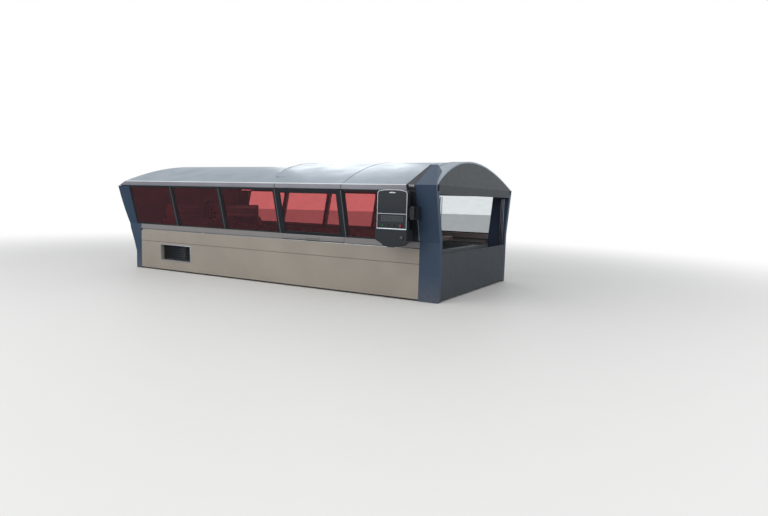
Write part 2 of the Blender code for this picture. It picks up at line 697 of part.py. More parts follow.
def build_right_columns(blue):
    """Blue columns: upright, leaning out to a fold, then a horn that tapers over the roof."""
    seat = HOOD_RISE + GAP
    inner_fold = ARCH_HALF_WIDTH - EAVE_TURN
    under = arch_points(HORN_Y, inner_fold, seat)
    outline = [(SIDE_HALF_WIDTH, 0.0), (SIDE_HALF_WIDTH, SILL_TOP), (FOLD_Y, FOLD_HEIGHT),
               (HORN_Y, HORN_HEIGHT)] + under
    outline += [(inner_fold, EAVE_BASE), (side_y(EAVE_BASE, COLUMN_DEPTH), EAVE_BASE),
                (INNER_FACE, SILL_TOP), (INNER_FACE, 0.0)]
    slope = slope_cutter("horn_slope", HORN_RUN, HORN_HEIGHT)
    for side_name, side in SIDES.items():
        column = prism(f"{side_name}_right_column", "X", sided(outline, side), PANEL_RIGHT, RIGHT_END, blue)
        combine(column, slope, "DIFFERENCE")


def slope_cutter(name, run, top):
    """What a right end that slopes back by a run, from the fold to a top, takes off."""
    share = (RAISED_RIDGE + OVERRUN - FOLD_HEIGHT) / (top - FOLD_HEIGHT)
    above = RAISED_RIDGE + OVERRUN
    outline = [(RIGHT_END, FOLD_HEIGHT), (RIGHT_END + OVERRUN, FOLD_HEIGHT), (RIGHT_END + OVERRUN, above),
               (RIGHT_END - run * share, above)]
    reach = EAVE_HALF_WIDTH + OVERRUN
    return prism(name, "Y", outline, -reach, reach, cutter=True)


def build_left_columns(blue):
    """Left corner columns, which widen as they rise and lean out with the windows."""
    head = EAVE_BASE - ROOF_SHEET
    section = [(SIDE_HALF_WIDTH, 0.0), (SIDE_HALF_WIDTH, SILL_TOP), (side_y(head), head),
               (side_y(head, COLUMN_DEPTH), head), (INNER_FACE, SILL_TOP), (INNER_FACE, 0.0)]
    side_cut = left_end_outline()
    top = EAVE_BASE + OVERRUN
    keep = [(PANEL_LEFT, -OVERRUN)] + [(side_cut[0][0], -OVERRUN)] + side_cut[1:]
    keep += [(LEFT_END, top), (GLASS_LEFT, top), (GLASS_LEFT, SILL_TOP), (PANEL_LEFT, SILL_TOP)]
    reach = EAVE_HALF_WIDTH + OVERRUN
    outline = prism("left_end_outline", "Y", keep, -reach, reach, cutter=True)
    for side_name, side in SIDES.items():
        column = prism(f"{side_name}_left_column", "X", sided(section, side), LEFT_END - OVERRUN,
                       PANEL_LEFT + OVERRUN, blue)
        combine(column, outline, "INTERSECT")


def roof_end(inset=0.0):
    """The roof's sloped left edge from the eave to the ridge, as (X, Z)."""
    return [(LEFT_END + setback + inset, height)
            for setback, height in zip(ROOF_END_SETBACKS, (EAVE_BASE, EAVE_TOP, RIDGE))]


def build_left_wall(ivory):
    """The left end's folded wall, which leans out, and its gable, which slopes back under the roof."""
    outer = left_end_outline()
    outer = [(outer[0][0], FLOOR_GAP)] + outer[1:-1] + [(outer[-1][0], EAVE_BASE - ROOF_SHEET)]
    outer += roof_end(ROOF_SHEET)[1:]
    inner = [(x + SHEET, z) for x, z in reversed(outer)]
    wall = prism("left_end_wall", "Y", outer + inner, -EAVE_HALF_WIDTH, EAVE_HALF_WIDTH, ivory)
    column_top = EAVE_BASE - ROOF_SHEET
    face = [(INNER_FACE - GAP, 0.0), (INNER_FACE - GAP, SILL_TOP),
            (side_y(column_top, COLUMN_DEPTH + GAP), column_top + GAP),
            (ARCH_HALF_WIDTH - 2 * ROOF_SHEET, column_top + GAP)]
    span = face[-1][0]
    under = arch_points(-span, span, -ROOF_SHEET - GAP, RIDGE)
    keep = sided(face, SIDES["near"]) + under + list(reversed(face))
    face = prism("left_end_face", "X", keep, LEFT_END - OVERRUN, PANEL_LEFT, cutter=True)
    combine(wall, face, "INTERSECT")


def roof_section(ridge):
    """The section of one folded sheet from eave to eave."""
    edge = [(-EAVE_HALF_WIDTH, EAVE_BASE)]
    outer = edge + arch_points(-ARCH_HALF_WIDTH, ARCH_HALF_WIDTH, 0.0, ridge) + mirrored(edge)
    inner_edge = [(-EAVE_HALF_WIDTH + ROOF_SHEET, EAVE_BASE)]
    inner_span = ARCH_HALF_WIDTH - ROOF_SHEET
    inner = inner_edge + arch_points(-inner_span, inner_span, -ROOF_SHEET, ridge) + mirrored(inner_edge)
    return outer + list(reversed(inner))


def build_roof(silver):
    """Three lengths of roof. The middle and right ones are higher, and the middle laps over the left."""
    edges = module_edges()
    left = prism("roof_left", "X", roof_section(RIDGE), edges[0], edges[1] - GAP, silver)
    slope = roof_end()
    reach = EAVE_HALF_WIDTH + OVERRUN
    beyond = [(LEFT_END - OVERRUN, RIDGE + OVERRUN), (LEFT_END - OVERRUN, EAVE_BASE - OVERRUN),
              (slope[0][0], EAVE_BASE - OVERRUN)]
    outline = beyond + slope + [(slope[-1][0], RIDGE + OVERRUN)]
    cut = prism("roof_end", "Y", outline, -reach, reach, cutter=True)
    combine(left, cut, "DIFFERENCE")
    middle = prism("roof_middle", "X", roof_section(RAISED_RIDGE), edges[1], edges[2] - GAP, silver)
    span = ARCH_HALF_WIDTH * LAP_SPAN_SHARE
    outline = arch_points(-span, span, -LAP_SHRINK) + list(reversed(arch_points(-span, span, GAP, RIDGE)))
    lap = prism("roof_lap", "X", outline, edges[1] - ROOF_LAP, edges[1] + LAP_JOINT, cutter=True)
    combine(middle, lap, "UNION")
    end = PANEL_RIGHT - TRIM_NECK - GAP
    right = prism("roof_right", "X", roof_section(RAISED_RIDGE), edges[2], end, silver)
    combine(right, band_plan("band_room", GAP), "DIFFERENCE")


def band_plan(name, clearance):
    """A cutter with the dark band's outline seen from above: wide at the eaves, narrow over the roof."""
    wide, narrow = PANEL_RIGHT - TRIM_WIDTH - clearance, PANEL_RIGHT - TRIM_NECK - clearance
    reach = EAVE_HALF_WIDTH + OVERRUN
    near = [(wide, -reach), (wide, -FOLD_Y), (narrow, -HORN_Y)]
    outline = near + [(x, -y) for x, y in reversed(near)] + [(PANEL_RIGHT + OVERRUN, reach),
                                                             (PANEL_RIGHT + OVERRUN, -reach)]
    return prism(name, "Z", outline, EAVE_BASE - OVERRUN, HORN_HEIGHT + RAISED_RIDGE, cutter=True)


def build_hood(dark, silver):
    """The dark band with horns beside the columns, and the hood that ends the roof."""
    horn = [(-EAVE_HALF_WIDTH, EAVE_BASE), (-FOLD_Y, FOLD_HEIGHT), (-HORN_Y, HORN_HEIGHT)]
    outer = horn + arch_points(-HORN_Y, HORN_Y, TRIM_RISE) + mirrored(horn)
    inner_edge = [(-EAVE_HALF_WIDTH + ROOF_SHEET, EAVE_BASE)]
    inner_span = ARCH_HALF_WIDTH - ROOF_SHEET
    inner = inner_edge + arch_points(-inner_span, inner_span, -ROOF_SHEET) + mirrored(inner_edge)
    band = prism("roof_band", "X", outer + list(reversed(inner)), PANEL_RIGHT - TRIM_WIDTH - OVERRUN,
                 PANEL_RIGHT - GAP, dark)
    combine(band, band_plan("band_plan", 0.0), "INTERSECT")
    hood_span = ARCH_HALF_WIDTH - EAVE_TURN - GAP
    outer = arch_points(-hood_span, hood_span, HOOD_RISE)
    inner = arch_points(-hood_span, hood_span, -ROOF_SHEET)
    hood = prism("roof_hood", "X", outer + list(reversed(inner)), PANEL_RIGHT, RIGHT_END, silver)
    combine(hood, slope_cutter("hood_slope", HOOD_RUN, RAISED_RIDGE), "DIFFERENCE")


def build_header(charcoal):
    """The header over the end opening: upright, then sloping back under the hood."""
    lift = -ROOF_SHEET - GAP
    span = side_y(EAVE_BASE, COLUMN_DEPTH) - GAP
    low_span = side_y(HEADER_BASE, COLUMN_DEPTH) - GAP
    face = [(-low_span, HEADER_BASE), (-span, EAVE_BASE)] + arch_points(-span, span, lift)
    face += [(span, EAVE_BASE), (low_span, HEADER_BASE)]
    header = prism("end_header", "X", face, PANEL_RIGHT, RIGHT_END - GAP, charcoal)
    front = [(RIGHT_END + OVERRUN, HEADER_BASE - OVERRUN), (RIGHT_END + OVERRUN, FOLD_HEIGHT),
             (RIGHT_END, FOLD_HEIGHT), (RIGHT_END - HOOD_RUN, RAISED_RIDGE)]
    back = [(x - HEADER_SHEET, z) for x, z in reversed(front[2:])]
    back += [(RIGHT_END - HEADER_SHEET, HEADER_BASE - OVERRUN)]
    keep = prism("header_fold", "Y", front + back, -EAVE_HALF_WIDTH, EAVE_HALF_WIDTH, cutter=True)
    combine(header, keep, "INTERSECT")


def build_end(charcoal, grey):
    """The apron below the end opening, and the two leaves of the drop door behind it."""
    reach = INNER_FACE - GAP
    box("end_apron", (RIGHT_END - APRON_SHEET, RIGHT_END), (-reach, reach), (FLOOR_GAP, APRON_TOP),
        charcoal)
    for step, name in enumerate(("door_upper_leaf", "door_lower_leaf")):
        front = RIGHT_END - DOOR_SETBACK - step * DOOR_STEP
        box(name, (front - DOOR_SHEET, front), (-reach, reach), (FLOOR_GAP, FLOOR_GAP + DOOR_HEIGHT), grey)


def build_rails(steel):
    """Guide rails for the gantry."""
    left, right = PANEL_LEFT + GAP, PANEL_RIGHT - GAP
    for side_name, side in SIDES.items():
        y = side * GUIDE_Y
        half, neck = GUIDE_WIDTH / 2, GUIDE_WAIST / 2
        base, top = BED_TOP + GAP, BED_TOP + GUIDE_HEIGHT
        waist = (base + top) / 2
        outline = [(y - half, base), (y + half, base), (y + neck, waist), (y + half, top), (y - half, top),
                   (y - neck, waist)]
        prism(f"{side_name}_guide_rail", "X", outline, left, right, steel)


def slat_outline():
    """A slat's toothed outline across the pallet."""
    reach = PALLET_HALF_WIDTH - PALLET_RAIL / 2
    seat, root = PALLET_BASE + SLAT_SEAT, SLAT_TOP - SLAT_TOOTH
    stations = np.linspace(reach, -reach, SLAT_TEETH + 1)
    points = [(-reach, seat), (reach, seat), (reach, root)]
    for first, second in zip(stations, stations[1:]):
        points += [(float(first + second) / 2, SLAT_TOP), (float(second), root)]
    return points


def build_pallet(steel):
    """The pallet: a rail frame with toothed slats welded across it, on two wheelsets."""
    low, high = PALLET_LEFT, PALLET_RIGHT
    outer = [(low, -PALLET_HALF_WIDTH), (high, -PALLET_HALF_WIDTH), (high, PALLET_HALF_WIDTH),
             (low, PALLET_HALF_WIDTH)]
    inset = PALLET_RAIL
    hole = [(low + inset, -PALLET_HALF_WIDTH + inset), (high - inset, -PALLET_HALF_WIDTH + inset),
            (high - inset, PALLET_HALF_WIDTH - inset), (low + inset, PALLET_HALF_WIDTH - inset)]
    pallet = prism("pallet", "Z", outer, PALLET_BASE, PALLET_BASE + PALLET_HEIGHT, steel, [hole])
    slats = bmesh.new()
    first = prism("slat", "X", slat_outline(), -SLAT_SHEET / 2, SLAT_SHEET / 2, cutter=True)
    for x in np.linspace(low, high, SLAT_COUNT + 2)[1:-1]:
        before = len(slats.verts)
        slats.from_mesh(first.data)
        slats.verts.ensure_lookup_table()
        shift = first.location + Vector((x, 0, 0))
        bmesh.ops.translate(slats, vec=shift, verts=slats.verts[before:])
    mesh = bpy.data.meshes.new("slats")
    slats.to_mesh(mesh)
    slats.free()
    bpy.data.objects.remove(first, do_unlink=True)
    combine(pallet, finish("slats", mesh, None, cutter=True), "UNION")
    inner, outer_face = TRACK_Y - WHEEL_WIDTH / 2, TRACK_Y + WHEEL_WIDTH / 2
    profile = ((0.0, outer_face), (WHEEL_RADIUS, outer_face), (WHEEL_RADIUS, inner), (AXLE_RADIUS, inner),
               (AXLE_RADIUS, -inner), (WHEEL_RADIUS, -inner), (WHEEL_RADIUS, -outer_face),
               (0.0, -outer_face))
    for name, x in (("rear_wheelset", low + WHEEL_INSET), ("front_wheelset", high - WHEEL_INSET)):
        turned(name, profile, (x, 0.0, AXLE_HEIGHT), (0, 1, 0), steel)


def build_gantry(grey, steel):
    """The gantry: two carriages on the guide rails and the beam across them."""
    rail_top = BED_TOP + GUIDE_HEIGHT + GAP
    half = CARRIAGE_LENGTH / 2
    for side_name, side in SIDES.items():
        outline = [(GANTRY_X - half, rail_top), (GANTRY_X + half, rail_top),
                   (GANTRY_X + half, rail_top + CARRIAGE_DEPTH / 2),
                   (GANTRY_X + BEAM_WIDTH / 2 + BEAM_CHAMFER, BEAM_BASE - GAP),
                   (GANTRY_X - BEAM_WIDTH / 2 - BEAM_CHAMFER, BEAM_BASE - GAP),
                   (GANTRY_X - half, rail_top + CARRIAGE_DEPTH / 2)]
        limits = sorted((side * (GUIDE_Y - CARRIAGE_DEPTH / 2), side * (GUIDE_Y + CARRIAGE_DEPTH / 2)))
        carriage = prism(f"{side_name}_carriage", "Y", outline, *limits, grey)
        motor_x = GANTRY_X - half + MOTOR_RADIUS + MOTOR_EDGE
        y = side * (GUIDE_Y + CARRIAGE_DEPTH / 2 - MOTOR_RADIUS - MOTOR_EDGE)
        motor = turned(f"{side_name}_motor", rod(MOTOR_RADIUS, -OVERRUN, MOTOR_HEIGHT),
                       (motor_x, y, rail_top + CARRIAGE_DEPTH / 2), (0, 0, 1), None, cutter=True)
        combine(carriage, motor, "UNION")
        build_pinion(side_name, side, steel)
    chamfer = BEAM_CHAMFER
    low, high = GANTRY_X - BEAM_WIDTH / 2, GANTRY_X + BEAM_WIDTH / 2
    section = [(low + chamfer, BEAM_BASE), (high, BEAM_BASE), (high, BEAM_TOP), (low + chamfer, BEAM_TOP),
               (low, BEAM_TOP - chamfer), (low, BEAM_BASE + chamfer)]
    prism("gantry_beam", "Y", section, -BEAM_HALF_LENGTH, BEAM_HALF_LENGTH, grey)


def build_pinion(side_name, side, steel):
    """A drive pinion beside the guide rail, under the carriage's outer edge."""
    tip, root = PINION_RADIUS, PINION_RADIUS - 2 * PINION_TOOTH
    points = []
    for step in range(PINION_TEETH * 4):
        radius = tip if step % 4 < 2 else root
        angle = math.tau * step / (PINION_TEETH * 4)
        points.append((radius * math.cos(angle), radius * math.sin(angle)))
    x = GANTRY_X
    y = side * (GUIDE_Y + GUIDE_WIDTH / 2 + GAP + PINION_RADIUS)
    outline = [(x + u, y + v) for u, v in points]
    top = BED_TOP + GUIDE_HEIGHT
    pinion = prism(f"{side_name}_pinion", "Z", outline, top - PINION_HEIGHT, top, steel)
    set_origin(pinion, (x, y, top))


def build_head(grey, dark):
    """The saddle on the beam's front face and the cutting head on its upright slide."""
    front = GANTRY_X + BEAM_WIDTH / 2 + GAP
    back = front + SADDLE_DEPTH
    half = SADDLE_WIDTH / 2
    box("cross_saddle", (front, back), (HEAD_Y - half, HEAD_Y + half), (SADDLE_BASE, SADDLE_TOP), dark,
        SADDLE_BEVEL)
    plate = back + GAP
    slide_half = HEAD_SLIDE_WIDTH / 2
    head_x = plate + HEAD_SLIDE_DEPTH + HEAD_RADIUS
    neck = HEAD_BASE + HEAD_RADIUS
    profile = ((0.0, HEAD_TOP), (HEAD_NECK, HEAD_TOP), (HEAD_NECK, SADDLE_TOP),
               (HEAD_RADIUS, SADDLE_TOP - HEAD_SHOULDER), (HEAD_RADIUS, SADDLE_BASE + HEAD_RADIUS),
               (HEAD_FOOT, SADDLE_BASE), (HEAD_NECK, neck), (NOZZLE_RADIUS, HEAD_BASE), (0.0, HEAD_BASE))
    head = turned("cutting_head", profile, (head_x, HEAD_Y, 0.0), (0, 0, 1), grey)
    slide = box("head_slide_plate", (plate, head_x - HEAD_RADIUS / 2),
                (HEAD_Y - slide_half, HEAD_Y + slide_half),
                (SADDLE_BASE + HEAD_RADIUS, SADDLE_TOP - HEAD_SHOULDER), cutter=True)
    combine(head, slide, "UNION")


def console_outline(inset=0.0, base=CONSOLE_BASE):
    """The housing's front outline, less an inset: upright sides and a slightly crowned top."""
    left, right = CONSOLE_LEFT + inset, CONSOLE_RIGHT - inset
    middle, half = (left + right) / 2, (right - left) / 2
    corner = CONSOLE_CORNER - inset
    shoulder = CONSOLE_TOP - CONSOLE_CROWN - inset
    points = [(left, base), (right, base)]
    centre_height = shoulder - corner
    for angle in np.linspace(0.0, math.pi / 2, CORNER_STEPS):
        points.append((right - corner + corner * math.cos(angle), centre_height + corner * math.sin(angle)))
    for share in CROWN_SHARES:
        points.append((middle + half * share, shoulder + CONSOLE_CROWN * (1 - share ** 2)))
    for angle in np.linspace(math.pi / 2, math.pi, CORNER_STEPS):
        points.append((left + corner + corner * math.cos(angle), centre_height + corner * math.sin(angle)))
    return [(float(x), float(z)) for x, z in points]


def build_console(charcoal, silver, dark, red, green):
    """The console: bracket on the column, swivelling housing, screen, trim, desk and controls."""
    front, back = CONSOLE_FRONT, CONSOLE_FRONT + CONSOLE_THICKNESS
    pivot = (PIVOT_X, PIVOT_Y, PIVOT_BASE)
    top = PIVOT_BASE + PIVOT_HEIGHT
    slope = (FOLD_Y - SIDE_HALF_WIDTH) / (FOLD_HEIGHT - SILL_TOP)
    face = [-(SIDE_HALF_WIDTH + slope * (z - SILL_TOP) + GAP) for z in (PIVOT_BASE, top)]
    tip, clear = PIVOT_Y - EAR_REACH, PIVOT_Y + EAR_REACH
    outline = [(tip, PIVOT_BASE), (face[0], PIVOT_BASE), (face[1], top), (tip, top),
               (tip, top - EAR_THICKNESS), (clear, top - EAR_THICKNESS),
               (clear, PIVOT_BASE + EAR_THICKNESS), (tip, PIVOT_BASE + EAR_THICKNESS)]
    prism("console_bracket", "X", outline, PIVOT_X - EAR_LEFT_REACH, PIVOT_X + EAR_REACH, charcoal)
    housing = prism("console_housing", "Y", console_outline(), front + SCREEN_RECESS, back, charcoal)
    barrel_low, barrel_high = PIVOT_BASE + EAR_THICKNESS + GAP, top - EAR_THICKNESS - GAP
    barrel = turned("console_barrel", rod(PIVOT_RADIUS, barrel_low, barrel_high),
                    (PIVOT_X, PIVOT_Y, 0.0), (0, 0, 1), None, cutter=True)
    web = box("console_web", (CONSOLE_RIGHT - CONSOLE_CORNER, PIVOT_X),
              (PIVOT_Y - WEB_OFFSET - WEB_THICKNESS, PIVOT_Y - WEB_OFFSET), (barrel_low, barrel_high),
              cutter=True)
    combine(combine(housing, barrel, "UNION"), web, "UNION")
    build_console_face(front, pivot, silver, dark)
    build_controls(housing, dark, red, green)
    build_desk(back, pivot, charcoal)
    set_origin(housing, pivot)


def build_console_face(front, pivot, silver, dark):
    """The dark screen and the key area below it, each in a thin silver frame."""
    left, right = CONSOLE_LEFT + BEZEL_WIDTH, CONSOLE_RIGHT - BEZEL_WIDTH
    low, high = CONSOLE_BASE + BEZEL_WIDTH, SCREEN_BASE - BEZEL_WIDTH
    keys = [(left, low), (right, low), (right, high), (left, high)]
    window = console_outline(BEZEL_WIDTH, SCREEN_BASE)
    bezel_back = front + SCREEN_RECESS - GAP
    bezel = prism("console_bezel", "Y", console_outline(), front - SCREEN_RECESS, bezel_back, silver,
                  [window, keys])
    set_origin(bezel, pivot)
    glass = console_outline(BEZEL_WIDTH + GAP, SCREEN_BASE + GAP)
    set_origin(prism("console_screen", "Y", glass, front, bezel_back, dark), pivot)


def build_controls(housing, dark, red, green):
    """Start and pause buttons, a feed knob and an emergency button below the screen.

    A button's cap stands off the face by its travel, and its stem sits in a bore of the housing.
    """
    row = ((BUTTON_SHARES[0], "start_button", BUTTON_RADIUS, BUTTON_RADIUS, green),
           (BUTTON_SHARES[1], "pause_button", BUTTON_RADIUS, BUTTON_RADIUS, dark),
           (BUTTON_SHARES[3], "emergency_button", STOP_RADIUS, STOP_RADIUS, red))
    base = BUTTON_TRAVEL + BUTTON_CLEARANCE
    rim, shoulder = CAP_SHARES
    for share, name, radius, height, material in row:
        x = CONSOLE_LEFT + CONSOLE_WIDTH * share
        stem = radius * STEM_SHARE
        profile = ((0.0, base + height), (radius * rim, base + height), (radius, base + height * shoulder),
                   (radius, base), (stem, base), (stem, -STEM_LENGTH), (0.0, -STEM_LENGTH))
        turned(name, profile, (x, CONSOLE_FACE, BUTTON_ROW), (0, -1, 0), material, steps=12)
        bore = turned(f"{name}_bore", rod(stem + GAP, -STEM_LENGTH - base, OVERRUN),
                      (x, CONSOLE_FACE, BUTTON_ROW), (0, -1, 0), None, steps=12, cutter=True)
        combine(housing, bore, "DIFFERENCE")
    radius, height = KNOB_RADIUS, KNOB_HEIGHT
    x = CONSOLE_LEFT + CONSOLE_WIDTH * BUTTON_SHARES[2]
    profile = ((0.0, height), (radius * rim, height), (radius, height * shoulder), (radius, 0.0),
               (0.0, 0.0))
    turned("feed_knob", profile, (x, CONSOLE_FACE - GAP, BUTTON_ROW), (0, -1, 0), dark, steps=12)


def build_desk(back, pivot, charcoal):
    """The wedge below the housing, narrowing to a rounded foot."""
    left, right = CONSOLE_LEFT - DESK_OVERHANG, CONSOLE_RIGHT
    middle, half = (CONSOLE_LEFT + CONSOLE_RIGHT) / 2, DESK_FOOT_WIDTH / 2
    top = CONSOLE_BASE - GAP
    foot = top - DESK_DROP
    round_foot = [(middle - half * math.cos(angle), foot + DESK_ROUND * (1 - math.sin(angle)))
                  for angle in np.linspace(0.0, math.pi, 2 * CORNER_STEPS - 1)]
    outline = [(left, top), (left, top - DESK_SIDE)]
    outline += [(float(x), float(z)) for x, z in round_foot]
    outline += [(right, top - DESK_SIDE), (right, top)]
    desk = prism("console_desk", "Y", outline, CONSOLE_FRONT, back + DESK_BACK, charcoal)
    set_origin(desk, pivot)


def build_all():
    """The whole machine."""
    clear_scene()
    ivory = make_material("ivory_powder_coat", (0.62, 0.58, 0.52), 0.45)
    blue = make_material("blue_enamel", (0.045, 0.095, 0.17), 0.4)
    grey = make_material("grey_enamel", (0.30, 0.30, 0.31), 0.45)
    charcoal = make_material("charcoal_enamel", (0.05, 0.052, 0.056), 0.5)
    dark = make_material("black_trim", (0.012, 0.012, 0.014), 0.5)
    silver = make_material("satin_silver_sheet", (0.66, 0.68, 0.70), 0.35, 0.4)
    steel = make_material("machined_steel", (0.42, 0.42, 0.43), 0.35, 1.0)
    glass = make_material("tinted_laser_window", (0.10, 0.02, 0.03), 0.08)
    red = make_material("red_button", (0.55, 0.02, 0.02), 0.35)
    green = make_material("green_button", (0.02, 0.35, 0.08), 0.35)
    build_bed(grey, steel)
    build_feet(steel)
    build_side_panels(ivory)
    build_duct(steel)
    build_port(dark)
    build_sills(grey)
    build_portals(dark)
    build_panes(glass)
    build_leaf(grey, glass)
    build_right_columns(blue)
    build_left_columns(blue)
    build_left_wall(ivory)
    build_roof(silver)
    build_hood(dark, silver)
    build_header(charcoal)
    build_end(charcoal, grey)
    build_rails(steel)
    build_pallet(steel)
    build_gantry(grey, steel)
    build_head(grey, dark)
    build_console(charcoal, silver, dark, red, green)


build_all()
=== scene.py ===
"""The look of a fiber laser cutting machine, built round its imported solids.

The solids give the size and the motion. This adds the smooth roof, the glazing seals, the trims, the
racks and rails, the lamps and the fittings, and gives every surface its finish. Metres, +Z up, +X
towards the end that the pallet leaves by, -Y towards the operator.
"""
import math

import bmesh
import bpy
import numpy as np
from mathutils import Matrix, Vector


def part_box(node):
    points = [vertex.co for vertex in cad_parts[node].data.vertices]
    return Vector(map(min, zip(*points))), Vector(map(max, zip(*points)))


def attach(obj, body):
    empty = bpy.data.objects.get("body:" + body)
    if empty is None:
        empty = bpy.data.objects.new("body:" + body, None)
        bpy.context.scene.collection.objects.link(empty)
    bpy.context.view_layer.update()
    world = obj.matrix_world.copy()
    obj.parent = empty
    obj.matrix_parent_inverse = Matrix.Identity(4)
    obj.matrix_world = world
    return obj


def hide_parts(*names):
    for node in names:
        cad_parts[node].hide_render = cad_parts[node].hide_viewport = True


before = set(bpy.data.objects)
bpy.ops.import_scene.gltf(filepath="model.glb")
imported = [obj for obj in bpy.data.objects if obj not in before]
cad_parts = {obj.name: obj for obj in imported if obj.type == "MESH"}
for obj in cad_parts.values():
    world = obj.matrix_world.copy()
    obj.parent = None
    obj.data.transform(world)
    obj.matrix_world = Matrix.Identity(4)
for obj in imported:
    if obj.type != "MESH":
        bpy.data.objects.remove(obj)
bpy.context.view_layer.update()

bl_info = {
    "name": "Laser cutting machine",
    "version": (1, 0, 0),
    "blender": (4, 5, 0),
    "location": "View3D > Sidebar > Laser machine",
    "description": "Adds the roof, glazing, trims, lamps, fittings and finishes of a laser cutting machine",
    "category": "Object",
}

# The side panels' face, the sill's top, and the eave with the two heights of the ridge
SIDE = -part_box("near_upper_panel")[0].y
SILL_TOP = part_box("near_sill_left")[1].z
EAVE_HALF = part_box("roof_left")[1].y
EAVE_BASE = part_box("roof_left")[0].z
LOW_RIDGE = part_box("roof_left")[1].z
HIGH_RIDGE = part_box("roof_middle")[1].z
# How far the glazed side leans out for each metre that it rises
LEAN = (EAVE_HALF - SIDE) / (EAVE_BASE - SILL_TOP)
# Where a strip up the glazed side starts and ends
STRIP_BASE = SILL_TOP + 0.002
STRIP_TOP = EAVE_BASE - 0.016
# The gap at each end of an eave cover, a drip edge or a bead, and the one between two skins
END_GAP = 0.002
SKIN_GAP = 0.0005
# Points on a roof sheet, across the machine and along it
ACROSS = 97
ALONG = 56
ROOF_LENGTHS = ("roof_left", "roof_middle", "roof_right")
PORTALS = ("portal_1", "portal_2", "portal_3", "portal_4")
FIXED_PANES = ("near_window_1", "near_window_2", "near_window_3", "near_window_5")
# The operator's side and the far side, as the sign of Y
SIDES = (-1.0, 1.0)


def linear(hex_colour, alpha=1.0):
    """Turns an sRGB hex colour into linear values, by the sRGB curve."""
    srgb = np.array([int(hex_colour[place:place + 2], 16) for place in (1, 3, 5)]) / 255
    values = np.where(srgb <= 0.04045, srgb / 12.92, ((srgb + 0.055) / 1.055) ** 2.4)
    return (*values.tolist(), alpha)


def colour(name, description, hex_colour):
    """A colour property with its default."""
    return bpy.props.FloatVectorProperty(name=name, description=description, subtype="COLOR", size=4,
                                         min=0.0, max=1.0, default=linear(hex_colour))


def length(name, description, metres):
    """A length property with its default."""
    return bpy.props.FloatProperty(name=name, description=description, unit="LENGTH", default=metres)


def tilt(name, description, degrees):
    """An angle property with its default."""
    return bpy.props.FloatProperty(name=name, description=description, unit="ROTATION",
                                   default=math.radians(degrees))


class PaintSettings(bpy.types.PropertyGroup):
    """Colours of the painted and plated surfaces."""
    ivory: colour("Ivory", "Powder coat of the side panels", "#968E84")
    sill_grey: colour("Sill grey", "Enamel of the sill and the frames", "#7F7C7B")
    eave_grey: colour("Eave grey", "Enamel of the eave band", "#72727B")
    blue: colour("Blue", "Enamel of the end columns", "#304156")
    charcoal: colour("Charcoal", "Enamel of the header, apron and console", "#3A3E41")
    black: colour("Black", "Enamel of the window posts and the roof band", "#1F2226")
    machine_grey: colour("Machine grey", "Enamel of the gantry and the doors", "#8C8F92")
    silver: colour("Silver", "Satin sheet of the roof", "#A2ABB3")


class RoofSettings(bpy.types.PropertyGroup):
    """Sizes of the roof sheets and their trims."""
    sheet: length("Sheet", "Thickness of the roof sheet with its folded edge", 0.014)
    fascia: length("Fascia", "Height of the turned-down eave", 0.083)
    turn: length("Turn", "How far the eave stands out below its fold", 0.02)
    fold_rise: length("Fold rise", "Height of the columns' fold above the eave's", 0.005)
    end_setback: length("End setback", "How far the left end slopes back over the fascia", 0.14)
    end_run: length("End run", "How far the left end slopes back up to the ridge", 0.27)
    hood_run: length("Hood run", "How far the right end slopes back up to the ridge", 0.135)
    lap_span: length("Lap span", "Half the width of the lap on the left length", 1.537)
    wave: length("Wave", "Height of the shallow waves in the pressed sheet", 0.0012)
    bead: length("Bead", "Width of the rolled bead on a joint", 0.018)
    # The lap's rolled edge and the fold's bead are enamelled pale, as painted highlights along them
    lap_bead: length("Lap bead", "Width of the rolled edge of the lap", 0.036)
    drip_radius: length("Drip radius", "Radius of the rolled drip edge", 0.006)
    fold_radius: length("Fold radius", "Radius of the bright bead on the fold", 0.009)
    gap_cover: length("Gap cover", "Width of the dark strip where two eave covers meet", 0.014)
    cover: length("Cover", "Thickness of the enamelled eave cover", 0.004)


class GlazingSettings(bpy.types.PropertyGroup):
    """Sizes and tint of the laser windows."""
    seal_width: length("Seal width", "Width of the rubber seal round a pane", 0.022)
    seal_height: length("Seal height", "How far the seal stands off the pane", 0.009)
    # The pale bead up a post is a painted highlight on it
    post_bead: length("Post bead", "Width of the pale bead up the middle of a post", 0.009)
    tint: colour("Tint", "Colour of daylight through a pane on the operator's side", "#E66E6E")
    far_tint: colour("Far tint", "Colour of daylight through the far side's long sheet", "#E4EAEC")


class ConsoleSettings(bpy.types.PropertyGroup):
    """Sizes of the console's keys, lip and wheel."""
    key: length("Key", "Side of one key cap", 0.018)
    key_pitch: length("Key pitch", "Spacing of the key caps", 0.024)
    lip: length("Lip", "Height of the bright lip below the face", 0.022)
    wheel: length("Wheel", "Radius of the hand wheel on the desk", 0.024)
    keys_drop: length("Keys drop", "How far the first row of keys lies below the screen", 0.045)
    display_inset: length("Display inset", "How far the display's edge lies in from the frame", 0.045)


class LeafSettings(bpy.types.PropertyGroup):
    """Sizes of the opening leaf's handle and hinges."""
    handle: length("Handle", "Length of the handle", 0.32)
    handle_drop: length("Handle drop", "How far the handle lies below the sill's top", 0.045)
    handle_reach: length("Handle reach", "How far the handle stands off the sill", 0.045)
    knuckle: length("Knuckle", "Radius of a hinge knuckle", 0.0052)


class EndSettings(bpy.types.PropertyGroup):
    """Sizes of the trims, the lock and the door guides at the right end."""
    cover_width: length("Cover width", "Width of the dark cover beside the column", 0.23)
    trim_top: length("Trim top", "Height at which the slanted trim ends", 1.37)
    lock_height: length("Lock height", "Height of the lock's middle", 1.42)
    lock_inset: length("Lock inset", "How far the lock stands from the column", 0.068)
    guide_top: length("Guide top", "Height at which the door's guides end", 1.66)
    guide_depth: length("Guide depth", "How far a door guide reaches in from the side", 0.024)


